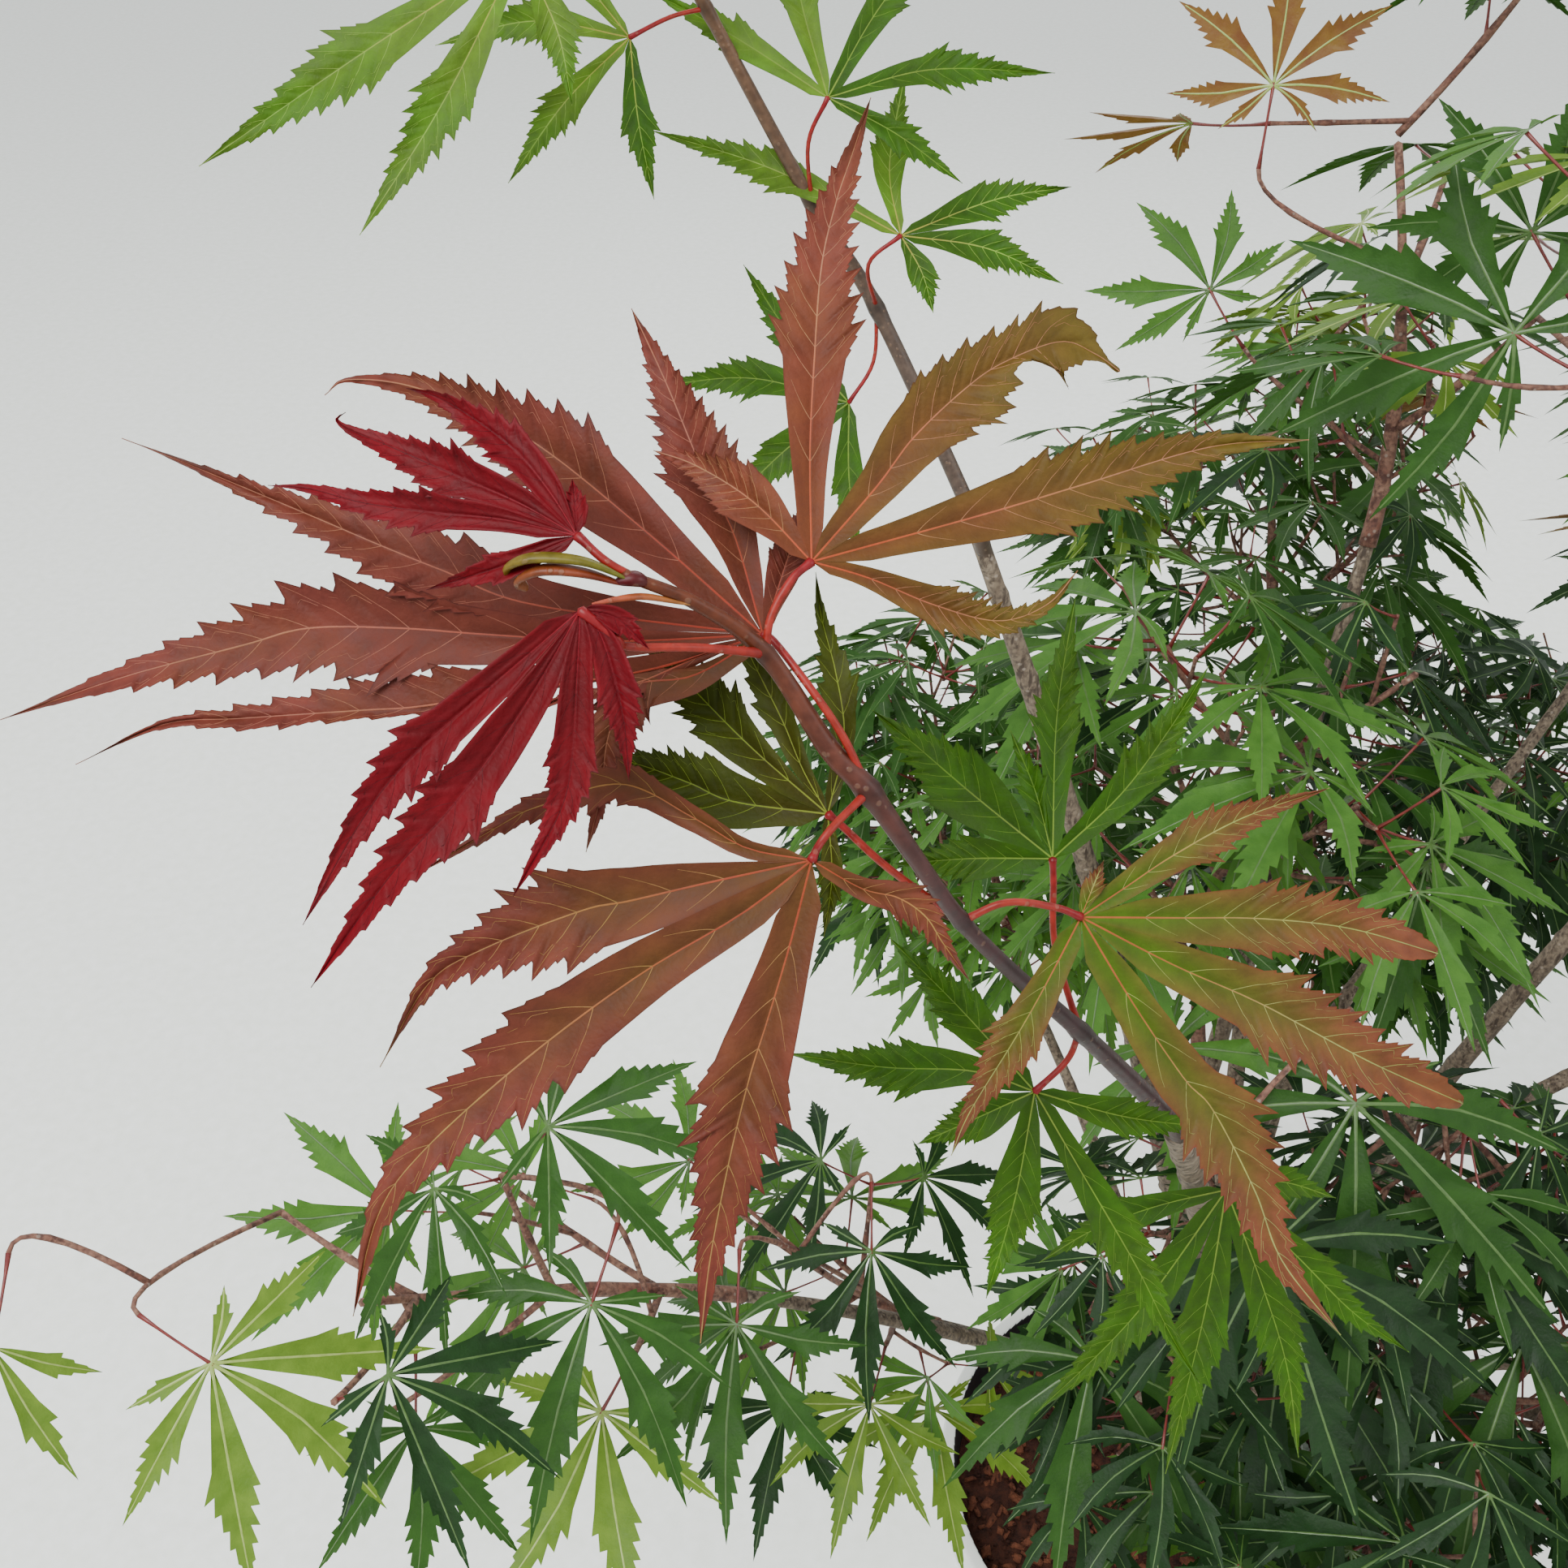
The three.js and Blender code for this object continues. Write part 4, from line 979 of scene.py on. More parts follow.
def grow_finer(mass, grown, order):
    """Finer twigs that fork from the stem and the shoots, where they and their leaves find room"""
    shares, stem_shares, lengths, gap, sizes, radii, tries = FINER_ORDERS[order]
    draw = seeded(mass.seed + 100 * (order + 1))
    starts = np.concatenate([leaf.starts for leaf in grown.leaves])
    ends = np.concatenate([leaf.ends for leaf in grown.leaves])

    def fits(shoot):
        return (
            inside_space(mass, shoot.ends[-1])
            and clear_of_limbs(shoot.starts, shoot.ends, radii[0], mass)
            and not in_view(shoot.ends, OPEN_VIEWS + SPARSE_VIEWS)
            and not (distances(shoot.starts, shoot.ends, starts, ends) < gap).any()
        )

    sites = []
    older = list(grown.shoots)
    for parent in older:
        turn = next(draw) * math.pi
        for i, share in enumerate(stem_shares if parent is older[0] else shares):
            for sign in (1, -1):
                direction = side_direction(parent.path.tangent(share), turn + i * math.pi / 2, sign)
                length = mass.reach * between(lengths, next(draw))
                path = shoot_path(parent.path.point(share), direction, length)
                shoot = Shoot(path, 2, SHOOT_FOOT_SHARE, radii, parent.spray)
                if fits(shoot):
                    grown.shoots.append(shoot)
                    sites += shoot.sites(next(draw) * math.pi, sizes)
    grow_leaves(mass, grown, sites, draw, gap, tries)
    bearing = {id(leaf.shoot) for leaf in grown.leaves}
    grown.shoots = older + [shoot for shoot in grown.shoots[len(older):] if id(shoot) in bearing]


def seen_leaf(place, heading, length, tint, roll):
    """A leaf that turns its face to the standpoint, or is rolled about its middle lobe away from it"""
    hub = seen(place)
    ray = unit(hub - STANDPOINT)
    ahead = math.cos(math.radians(heading)) * ACROSS + math.sin(math.radians(heading)) * RISE
    ahead = unit(ahead - ray * ray.dot(ahead))
    side = np.cross(-ray, ahead)
    normal = -ray * math.cos(math.radians(roll)) + side * math.sin(math.radians(roll))
    return Leaf(hub - ahead * SEEN_STALK, hub, ahead, normal, length, kind=LEAF_TINTS.index(tint))


def clear_views(mass, grown):
    """Opens the mass where the plant stands open, and makes room for the leaves seen there"""
    added = [seen_leaf(*facts) for facts in SEEN_LEAVES.get(mass.name, [])]
    stem, *shoots = grown.shoots
    share = 1
    while in_view(stem.path.point(share), OPEN_VIEWS):
        share -= STEM_TRIM
    stem = Shoot(stem.path.part(share), STEM_JOINTS, 0, stem.radii, 0)
    grown.shoots = [stem, *[shoot for shoot in shoots if not in_view(shoot.ends[-1], OPEN_VIEWS)]]
    lost = {shoot.spray for shoot in shoots} - {shoot.spray for shoot in grown.shoots}
    grown.leaves = [
        leaf for leaf in grown.leaves
        if leaf.shoot.spray not in lost and not in_view(leaf.hub, OPEN_VIEWS)
        and all(np.linalg.norm(leaf.hub - other.hub) > SEEN_CLEARANCE for other in added)
    ]
    for leaf in added:
        places = np.concatenate([shoot.path.points(STALK_ORIGINS)[1:] for shoot in grown.shoots])
        behind = leaf.foot + (leaf.foot - leaf.hub) * STALK_LEAD
        nearest = int(np.argmin(np.linalg.norm(places - behind, axis=1)))
        path = Bend(places[nearest], leaf.foot + (leaf.foot - leaf.hub) * STALK_BEND, leaf.foot)
        spray = grown.shoots[nearest // STALK_ORIGINS].spray
        leaf.shoot = Shoot(path, SEEN_STALK_STEPS, 0, SEEN_STALK_RADII, spray)
        grown.shoots.append(leaf.shoot)
    grown.leaves += added


# Blades

# One tooth of a leaf's edge: how far along it, and how far out, with two smaller teeth on its back
TOOTH = [(0, 0), (0.15, 0.3), (0.22, 0.16), (0.44, 0.62), (0.52, 0.44), (0.74, 0.94), (0.82, 1.1),
         (0.86, 0.7), (0.93, 0.16)]
TOOTH_TIP = 6
TOOTH_DEPTH = 0.34
COARSE_TOOTH = [(0, 0), (0.78, 1)]
FINE_COLUMNS = [0.1, 0.3, 0.52, 0.74, 0.93, 1]
COARSE_COLUMNS = [1]

# The teeth of a lobe: where the last one ends, how they crowd towards it, their least size and how much
# larger they come, how deep they are before they fade, where their middle lies and how far they lean ahead
TEETH_END = 0.995
TEETH_CROWDING = 0.94
TOOTH_LEAST = 0.55
TOOTH_SPREAD = 0.85
TOOTH_FULL = 1.3
TOOTH_FADE = 0.9
FADE_SHARES = (0.78, 0.98)
TOOTH_MIDDLE = 0.45
TOOTH_LEAN = 0.7
LOBE_SAMPLES = 400
LOBE_STEPS = 12

# How drawn out a lobe's tip is
BLUNT = 0.5
POINTED = 1.2
DRAWN_OUT = 1.4
TAILED = 1.7


class LobeStyle:
    """How the lobes of a kind of leaf are cut: teeth, folds and the grid they are laid on"""

    def __init__(self, teeth, tooth, columns, base_rows, depth, start=0.36, neck=0.3, drawn=POINTED):
        self.teeth = teeth
        self.tooth = tooth
        self.columns = columns
        self.base_rows = base_rows
        self.depth = depth
        self.start = start
        self.neck = neck
        self.drawn = drawn


def lobe_profile(share, neck, drawn, widest=0.52):
    """Half width along a lobe: a narrow neck, then widest near half way, then drawn out to a fine tip"""
    rising = neck + (1 - neck) * smoothstep(0.06, widest, share)
    falling = np.clip((1 - share) / (1 - widest), 0, 1) ** drawn
    return np.where(share < widest, rising, falling * 0.94 + 0.06 * np.sqrt(np.clip(falling, 0, 1)))


def lobe_grid(line, width, webs, style, draw, slant=0.9, bites=()):
    """A lobe as rows of points across its midrib, each row running forward along a side vein.
    Gives the points on the leaf's plane, the shares along and across, the half widths, how far each row is
    through its tooth, and the lobe's length."""
    line = smooth_line(line, LOBE_STEPS)
    steps = np.linalg.norm(np.diff(line, axis=0), axis=1)
    length = steps.sum()
    known = np.concatenate([[0], np.cumsum(steps)]) / length
    slope = units(np.gradient(line, axis=0))

    def on_line(values, share):
        return np.stack([np.interp(share, known, values[:, axis]) for axis in (0, 1)], -1)

    count = style.teeth
    base = style.base_rows
    phases = np.array([(tooth + phase, out) for tooth in range(count) for phase, out in style.tooth])
    share = np.concatenate([
        np.linspace(0, style.start, base, endpoint=False),
        style.start + (TEETH_END - style.start) * (phases[:, 0] / count) ** TEETH_CROWDING,
        [1],
    ])
    out = np.concatenate([np.zeros(base), phases[:, 1], [0]])
    phase = np.concatenate([np.full(base, 0.5), (phases[:, 0] + 1 - TOOTH[TOOTH_TIP][0]) % 1, [0]])
    number = np.concatenate([np.zeros(base, int), phases[:, 0].astype(int), [count - 1]])
    dense = np.linspace(0, 1, LOBE_SAMPLES)
    sides = []
    for side, web in zip((-1, 1), webs):
        sizes = np.array([TOOTH_LEAST + TOOTH_SPREAD * next(draw) for _ in range(count)])[number]
        half = np.minimum(width / 2 * lobe_profile(dense, style.neck, style.drawn), dense * length * web)
        root = np.maximum.accumulate(dense - slant * half / length)
        edge = np.interp(share, root, dense)
        edge[-1] = 1
        reach = np.interp(edge, dense, half)
        for bitten, place, lost, breadth in bites:
            if bitten == side:
                reach = reach * (1 - lost * bell(edge - place, breadth))
        room = length * (1 - style.start) / count
        fade = TOOTH_FULL - TOOTH_FADE * smoothstep(*FADE_SHARES, edge)
        deep = style.depth * sizes * np.minimum(reach, room) * fade
        tangent = units(on_line(slope, edge))
        outward = np.stack([-tangent[:, 1], tangent[:, 0]], -1) * side
        rim = on_line(line, edge) + outward * (reach + deep * (out - TOOTH_MIDDLE))[:, None]
        rim += tangent * (deep * TOOTH_LEAN * out)[:, None]
        sides.append((rim, reach))
    spine = on_line(line, share)
    columns = [-c for c in reversed(style.columns)] + [0] + list(style.columns)
    points = np.empty((len(share), len(columns), 2))
    halves = np.empty((len(share), len(columns)))
    for i, column in enumerate(columns):
        rim, reach = sides[column >= 0]
        points[:, i] = spine + (rim - spine) * abs(column)
        halves[:, i] = reach
    return points, share, np.array(columns), halves, phase, length


def webs_of(angles, open_web=0.8):
    """For each lobe in turn, how steeply it may widen from the hub before it meets the next one"""
    order = np.argsort(angles)
    webs = np.zeros((len(angles), 2))
    for place, i in enumerate(order):
        before = (angles[i] - angles[order[place - 1]]) % (2 * math.pi)
        after = (angles[order[(place + 1) % len(order)]] - angles[i]) % (2 * math.pi)
        webs[i] = [math.tan(min(gap / 2, math.atan(open_web))) for gap in (before, after)]
    return webs


# The grown masses' leaves, as shares of their length, and the section of a midrib: how far across, how far up
LOBE_TURN = 0.14
LOBE_BOW = 0.14
LEAST_LOBE = 0.92
LOBE_SPREAD = 0.12
LOBE_WIDTH = 0.225
SHORT_LOBE = 0.5
SHORT_LOBE_TEETH = 4
GROWN_TOOTH_DEPTH = 0.36
LEAST_FOLD = 0.24
FOLD_SPREAD = 0.2
CURL_MIDDLE = 0.35
CURL = 0.16
MIDRIB = [(-1, -0.1), (0, 0.75), (1, -0.1)]
MIDRIB_STEPS = 5
MIDRIB_END = 0.93
MIDRIB_WIDTH = 0.011
MIDRIB_TAPER = 0.75
MIDRIB_LIFT = 0.002


def leaf_template(draw, angles, lengths, teeth):
    """A leaf one unit long, with x ahead, y to the left and z up, and how far each point hangs"""
    angles = np.radians(angles) + np.array([(next(draw) - 0.5) * LOBE_TURN for _ in angles])
    lengths = np.array(lengths) * [LEAST_LOBE + LOBE_SPREAD * next(draw) for _ in lengths]
    blades = []
    faces = []
    kinds = []

    def put(points, cells, kind):
        faces.append(cells + sum(len(blade) for blade in blades))
        kinds.append(np.full(len(cells), kind))
        blades.append(points.reshape(-1, 4))

    for angle, length, web in zip(angles, lengths, webs_of(angles)):
        ahead = np.array([math.cos(angle), math.sin(angle)])
        left = np.array([-ahead[1], ahead[0]])
        bow = (next(draw) - 0.5) * LOBE_BOW * length
        line = [ahead * 0, ahead * length * 0.5 + left * bow, ahead * length]
        count = teeth if length > SHORT_LOBE else SHORT_LOBE_TEETH
        style = LobeStyle(count, COARSE_TOOTH, COARSE_COLUMNS, 3, depth=GROWN_TOOTH_DEPTH)
        points, share, columns, halves, _, _ = lobe_grid(line, LOBE_WIDTH * length, web, style, draw)
        fold = LEAST_FOLD + FOLD_SPREAD * next(draw)
        curl = (next(draw) - CURL_MIDDLE) * CURL * length
        rise = fold * np.abs(columns)[None] * halves - curl * share[:, None] ** 2.5
        radius = np.linalg.norm(points, axis=-1)
        hang = LEAF_DROOP * radius * np.clip(radius / length, 0, 1) ** 0.6
        put(np.dstack([points, rise, hang]), grid_faces(len(share), len(columns)), 0)
        steps = np.linspace(0, MIDRIB_END, MIDRIB_STEPS)
        middle, height, low = [
            np.stack([np.interp(steps, share, values[:, 1, axis]) for axis in range(values.shape[2])], -1)
            for values in (points, rise[..., None], hang[..., None])
        ]
        thin = MIDRIB_WIDTH * (1 - MIDRIB_TAPER * steps)[:, None]
        strip = np.empty((len(steps), 3, 4))
        for i, (across, up) in enumerate(MIDRIB):
            strip[:, i] = np.hstack([middle + left * (across * thin), height + up * thin + MIDRIB_LIFT, low])
        put(strip, grid_faces(len(steps), 3), 1)
    return np.concatenate(blades), np.concatenate(faces), np.concatenate(kinds)


TEMPLATE_COUNT = 8
TEMPLATE_DRAW = seeded(401)
SEVEN_LOBES = ([-122, -85, -43, 0, 43, 85, 122], [0.4, 0.74, 0.95, 1, 0.95, 0.74, 0.4], 7)
FIVE_LOBES = ([-84, -43, 0, 43, 84], [0.72, 0.94, 1, 0.94, 0.72], 4)
TEMPLATES = [leaf_template(TEMPLATE_DRAW, *SEVEN_LOBES) for _ in range(TEMPLATE_COUNT)]
FINER_TEMPLATES = [leaf_template(TEMPLATE_DRAW, *FIVE_LOBES) for _ in range(TEMPLATE_COUNT)]
FINER_LEAF_SIZE = 48
VEIN_KIND = len(LEAF_TINTS)
PALE_VEIN_KIND = VEIN_KIND + 1
PALE_TINTS = ["leaf_bright", "leaf_bronze"]


def add_leaf(shape, leaf, template, kind):
    blade, faces, kinds = template
    side = np.cross(leaf.normal, leaf.heading)
    points = leaf.hub + leaf.size * (
        blade[:, :1] * leaf.heading + blade[:, 1:2] * side + blade[:, 2:3] * leaf.normal - blade[:, 3:] * UP
    )
    veins = PALE_VEIN_KIND if LEAF_TINTS[kind] in PALE_TINTS else VEIN_KIND
    shape.add(points, faces, np.where(kinds, veins, kind))


STALK_RADII = np.array([1.0, 0.56, 0.5, 0.52, 0.75])
STALK_SAG = 1.5
STALK_END = 0.8
TWIG_JOINT_SWELLING = 0.3
TWIG_JOINT_BREADTH = 0.08
ODD_LEAF_SHARE = 0.2
TINT_SEED = 200
STALK_KIND = 1

# Rows along and sides round the stem of a mass, its shoots and its finest twigs
STEM_GRID = (20, 10)
SHOOT_GRID = (8, 6)
FINE_GRID = (6, 5)


def add_stalk(shape, leaf):
    """A leaf's stalk: swollen where it leaves the twig, bending up into its blade"""
    middle = (leaf.foot + leaf.hub) / 2 - UP * STALK_SAG
    line = Bend(leaf.foot, middle, leaf.hub + leaf.heading * STALK_END).points(len(STALK_RADII) - 1)
    add_tube(shape, line, STALK_RADII * (0.6 + 0.4 * leaf.size / LEAF_LENGTH), 4, STALK_KIND)


def add_twig(shape, shoot, rows, sides):
    """A twig that swells at its joints"""
    share = np.linspace(0, 1, rows + 1)
    radii = between(shoot.radii, share)
    for joint in SHOOT_LEAF_SHARES:
        radii = radii * (1 + TWIG_JOINT_SWELLING * bell(share - joint, TWIG_JOINT_BREADTH))
    add_tube(shape, shoot.path.points(rows), radii, sides)


def dress_mass(mass):
    grown = grow_mass(mass)
    clear_views(mass, grown)
    grow_finer(mass, grown, 0)
    if mass.name in DENSE_MASSES:
        grow_finer(mass, grown, 1)
    draw = seeded(mass.seed + TINT_SEED)
    sprays = {}
    leaves = Shape()
    twigs = Shape()

    def deal():
        return int(np.searchsorted(mass.odds, next(draw)))

    for leaf in grown.leaves:
        spray = leaf.shoot.spray
        if spray not in sprays:
            sprays[spray] = deal()
        kind = deal() if next(draw) < ODD_LEAF_SHARE else sprays[spray]
        if leaf.kind is not None:
            kind = leaf.kind
        templates = TEMPLATES if leaf.size > FINER_LEAF_SIZE else FINER_TEMPLATES
        add_leaf(leaves, leaf, templates[int(next(draw) * TEMPLATE_COUNT)], kind)
        add_stalk(twigs, leaf)
    stem, *shoots = grown.shoots
    add_twig(twigs, stem, *STEM_GRID)
    for shoot in shoots:
        add_twig(twigs, shoot, *(SHOOT_GRID if shoot.radii[0] > 1 else FINE_GRID))
    finishes = [*LEAF_TINTS, "leaf_vein", "leaf_vein_pale"]
    leaves.piece(mass.name + "_leaves", finishes, "leaf_green", [mass.name])
    twigs.piece(mass.name + "_twigs", ["twig", "stalk"], "bark", [mass.name])


# Near leaves. Places are across, up and near in millimetres on the plane of the near shoot.

ROSE = ("#62301e", "#6e3629")
GOLD = ("#5d351d", "#5c481b")
BRICK = ("#57281c", "#652e25")
CRIMSON = ("#56020c", "#680412")
OLIVE = ("#343203", "#3e4607")
BROWN = ("#513218", "#682f26")
PINK = ("#40560f", "#6c3c28")
GREEN = ("#2a4804", "#36580a")
YOUNG = ("#52701a", "#446414")

# Kinds of leaf: the blade's tints and the veins' from the hub outward, the margin and the under side
USUAL = dict(teeth=8, fold=0.2, ripple=0.2, wave=0.8, pleat=0, depth=TOOTH_DEPTH)
KINDS = {
    "rose": dict(USUAL, tints=ROSE, veins=["#a4442a", "#9c6a50"], margin="#431a14", under="#8a6656",
                 neck=0.42, teeth=10, ripple=0.16, wave=0.9),
    "brick": dict(USUAL, tints=BRICK, veins=["#8a3020", "#935c4a"], margin="#361210", under="#825c54",
                  neck=0.45, teeth=10, fold=0.16, ripple=0.18, wave=1.2),
    "crimson": dict(USUAL, tints=CRIMSON, veins=["#7c1020", "#4c0812"], margin="#34060e", under="#7c2432",
                    neck=0.66, teeth=7, fold=0.34, ripple=0.06, wave=0.5, pleat=0.3, depth=0.28),
    "olive": dict(USUAL, tints=OLIVE, veins=["#707a24", "#7a8630"], margin="#30200c", under="#6c7048",
                  neck=0.5, fold=0.22, wave=0.6),
    "brown": dict(USUAL, tints=BROWN, veins=["#8c3a24", "#946e42"], margin="#3c160e", under="#8a6850",
                  neck=0.52, wave=1.1),
    "pink_green": dict(USUAL, tints=PINK, veins=["#98502e", "#8c8c50"], margin="#6a281e", under="#8c8a68",
                       neck=0.58, fold=0.18, ripple=0.18, wave=1.0),
    "green": dict(USUAL, tints=GREEN, veins=["#6c8030", "#5c7a28"], margin="#2c3c10", under="#6c8450",
                  neck=0.48),
    "young": dict(USUAL, tints=YOUNG, veins=["#8a8838", "#7a9640"], margin="#4c5a1c", under="#8a9c5c",
                  neck=0.4),
}

# Damage of one lobe: its side, how far along, the share of its width lost, or gained where a flap is left,
# and the breadth along it
BITTEN = [(-1, 0.59, -0.3, 0.05), (-1, 0.73, 0.74, 0.05), (-1, 0.84, -1, 0.035), (-1, 0.96, 0.75, 0.055),
          (1, 0.82, -0.5, 0.06), (1, 0.965, 0.75, 0.05)]

# Lobes: width and the places of the midrib after the hub, then, where they aren't the kind's own or the usual
# ones, the pair of tints, how drawn out the tip is, and the damage
NEAR_LEAVES = {
    "a": dict(hub=[3.4, 27.4, 0], kind="rose", lobes=[
        (7.5, [(-3.6, 34.6), (-10.6, 39.1), (-16.1, 41.1)]),
        (10, [(3.2, 40.6), (3.7, 51.6), (4.6, 63.6), (6.4, 71.6), (8.4, 77.6), (10.7, 84.6)]),
        (9.5, [(11.4, 36.6), (15.9, 42.6), (22.2, 48.6), (27, 51.9), (34, 54.5), (38.3, 53), (41.4, 50.8)],
         GOLD, BLUNT, BITTEN),
        (10, [(24.6, 33.2), (36.9, 36.9), (52.4, 41.5), (64.7, 42.4)], GOLD),
        (5.7, [(10.4, 25.4), (18.4, 22.1), (26.4, 20.1), (32.4, 22.1), (36.2, 26.3)], GOLD)],
        stalk=[(-2.3, 16.1, 0), (-1.6, 20.6, 1), (0.9, 25.1, 1)]),
    "b": dict(hub=[-2.6, 18.4, -4], kind="brick", lobes=[
        (5, [(0.4, 27.6), (3.4, 36.6)]),
        (9.5, [(-6.1, 30.6), (-9.6, 37.6), (-14.6, 49.6), (-18.8, 58.6)]),
        (11.5, [(-17.6, 31.6), (-31.6, 42.6), (-44.6, 48.6), (-53.6, 49.8), (-56.6, 47.9)], BRICK, DRAWN_OUT),
        (9.5, [(-30.5, 22), (-41.8, 26.2), (-50.2, 29.6), (-58.6, 33.2), (-75.1, 40.1), (-81.6, 42.6)],
         BRICK, TAILED),
        (12.5, [(-20.6, 17.6), (-36.2, 18.4), (-47.4, 19.2), (-58.6, 19.2), (-66.6, 17.1), (-81.6, 13.1),
                (-96.6, 7.9)], BRICK, DRAWN_OUT),
        (8.5, [(-16.6, 14.1), (-32.6, 11.6), (-44.6, 9.6), (-51.6, 9.1), (-66.6, 8.1), (-76.6, 7.3),
               (-87.3, 2.4)], BRICK, TAILED),
        (3.5, [(-10.4, 15.7), (-18.1, 12.5), (-27.4, 10.5), (-32.6, 7.8)]),
        (8, [(-11, 13.4), (-18.6, 12), (-21.6, 6), (-22.6, -1.4), (-24.4, -8.4)], BROWN)],
        stalk=[(10.4, -0.9, -5), (7.4, 5.6, -2), (3.4, 11.6, -1), (-1.1, 17.4, -3)]),
    "c": dict(hub=[-25.1, 21.4, 15], kind="crimson", lobes=[
        (7, [(-36.6, 11.6), (-46.6, 2.6), (-52.6, -5.4), (-59.3, -17.4)]),
        (8.5, [(-32.6, 8.6), (-40.6, -2.4), (-48.6, -11.4), (-58.3, -25.1)]),
        (6, [(-25.6, 11.6), (-26.1, 3.6), (-27.6, -3.4), (-33.4, -13.9)]),
        (5.5, [(-22.7, 18.6), (-20.8, 12.7), (-19.6, 6.7), (-19.1, 0.4)]),
        (3.5, [(-20.6, 20.4), (-16.6, 16.6)])],
        stalk=[(-2.3, 16.1, 0), (-10.6, 16.8, 8), (-19.1, 16.9, 12), (-20.6, 17.9, 14)]),
    "d": dict(hub=[-25.5, 30.6, 10], kind="crimson", lobes=[
        (6.5, [(-32.6, 34.6), (-40.6, 38.1), (-48.6, 41.6), (-53.4, 43.6), (-55.1, 44.9), (-54, 45.8)]),
        (5.2, [(-34.6, 32.6), (-42.6, 33.4), (-51.6, 34.6), (-58.6, 36.4), (-63.6, 36.8)]),
        (4, [(-32.6, 27.6), (-38.6, 25.6), (-44.1, 23.9)]),
        (5.5, [(-28.6, 35.6), (-32.6, 40.6), (-37.6, 44.6), (-42.6, 47.6), (-46.6, 48.8)]),
        (3.6, [(-25.7, 34), (-26.1, 37.6)])],
        stalk=[(-10.6, 22.1, 6), (-20.6, 26.6, 10)]),
    "g": dict(hub=[5.4, -3.7, -10], kind="olive", lobes=[
        (4.5, [(7.4, 5.6), (6.4, 13.6), (4.6, 20.6), (3.9, 26.1)]),
        (4.5, [(2.4, 1.6), (-0.1, 7.6), (-3.1, 13.6), (-7.6, 22.6)]),
        (7.5, [(-3.6, 4.1), (-10.6, 11.1), (-16.6, 17.6), (-20.1, 21.1)]),
        (8.5, [(-6.1, -2.2), (-11.6, 0.1), (-18.6, 2.6), (-24.6, 3.4)]),
        (3.5, [(5.9, -11.4), (4.9, -18.9)])],
        stalk=[(21.9, -16.9, -20), (12.9, -10.4, -12), (7.4, -5.4, -11)]),
    "l": dict(hub=[3.4, -9.4, 2], kind="brown", lobes=[
        (5, [(-4.6, -7.9), (-11.1, -4.2), (-20.1, 0), (-30.6, -2.9), (-34.6, -4.9), (-45.4, -11.2)]),
        (12, [(-9.1, -12.1), (-19, -14.4), (-24.9, -15.6), (-37.2, -20.4), (-43.9, -24.7), (-49.8, -34.9)],
         BROWN, TAILED),
        (11, [(-5.2, -16), (-17.8, -23.5), (-31.7, -33.8), (-44.6, -45.4), (-50.1, -53.4), (-53.1, -65.6)]),
        (11.5, [(0.7, -19.9), (-2, -29), (-4.2, -36), (-6.7, -46.2), (-9.1, -58.5), (-10.3, -68.9)]),
        (5, [(9.6, -12.9), (14, -14), (17.4, -16.3), (19.6, -19.6), (22.9, -24.3)])],
        stalk=[(10.4, -0.9, -5), (6.4, -4.9, 0), (4.4, -7.4, 1)]),
    "r": dict(hub=[36.6, -16.4, -25], kind="pink_green", lobes=[
        (3, [(38, -12.9), (39.4, -9.4)]),
        (6.5, [(31.9, -25.4), (28.4, -31.5), (22.9, -40.4), (20.6, -45.8)]),
        (10, [(42.8, -26.7), (49.3, -36.3), (52.8, -40.1), (58, -50.1), (61.4, -58.8), (68.6, -67.9)]),
        (10, [(48, -22.3), (58.8, -27.1), (71.9, -34.1), (83.7, -39.4)], PINK, BLUNT),
        (8.8, [(48.4, -16.5), (58.8, -16.6), (69.7, -17.8), (80.6, -20.9)], PINK, BLUNT),
        (6, [(42, -12.8), (48, -8.8), (56.7, -4.1), (67.2, -0.5)])],
        stalk=[(21.9, -16.9, -20), (27.4, -14.6, -19), (33.4, -15.2, -23)]),
    "h": dict(hub=[33.1, -9.2, -45], kind="green", lobes=[
        (6, [(33.6, 8), (35.9, 23.1)]),
        (6, [(41.4, -1.4), (47.4, 6.6), (52.4, 14.6)]),
        (4, [(31, -1), (27.9, 6.6)]),
        (9, [(23.4, -1.4), (16.4, 4.6), (10.9, 9.1)]),
        (6, [(23, -9.2), (13.4, -9.9)])],
        stalk=[(36.4, -30.4, -50), (33.4, -20, -48), (33.2, -12, -46)]),
    "k": dict(hub=[30.9, -37.9, -52], kind="green", lobes=[
        (6, [(22, -28), (12.9, -18.9)]),
        (7, [(23.4, -35.4), (12.4, -34.9), (0.2, -33.2)]),
        (6, [(23, -41.5), (16.4, -44.4)]),
        (7, [(28.4, -51.4), (24.9, -63.4)]),
        (6, [(36.4, -47.4), (43.4, -59.4), (47.4, -67.4), (51.2, -73.9)]),
        (5, [(42, -41), (53.4, -42.4)])],
        stalk=[(36.4, -30.4, -50), (34.9, -34, -52)]),
    "m": dict(hub=[54.5, -50, -150], kind="green", lobes=[
        (6.5, [(46, -62), (40, -69), (30.9, -77.6)]),
        (7, [(52.5, -62), (50, -73), (47, -85)]),
        (6.5, [(59, -62), (62, -72), (63.4, -83)]),
        (5.5, [(63, -58), (70, -65), (77, -70)]),
        (5, [(46, -52), (38, -55), (31.4, -59)]),
        (4.5, [(61, -49), (68, -51)])],
        stalk=[(48.7, -44, -118), (51.4, -44.4, -130), (53.6, -47.4, -144)]),
}

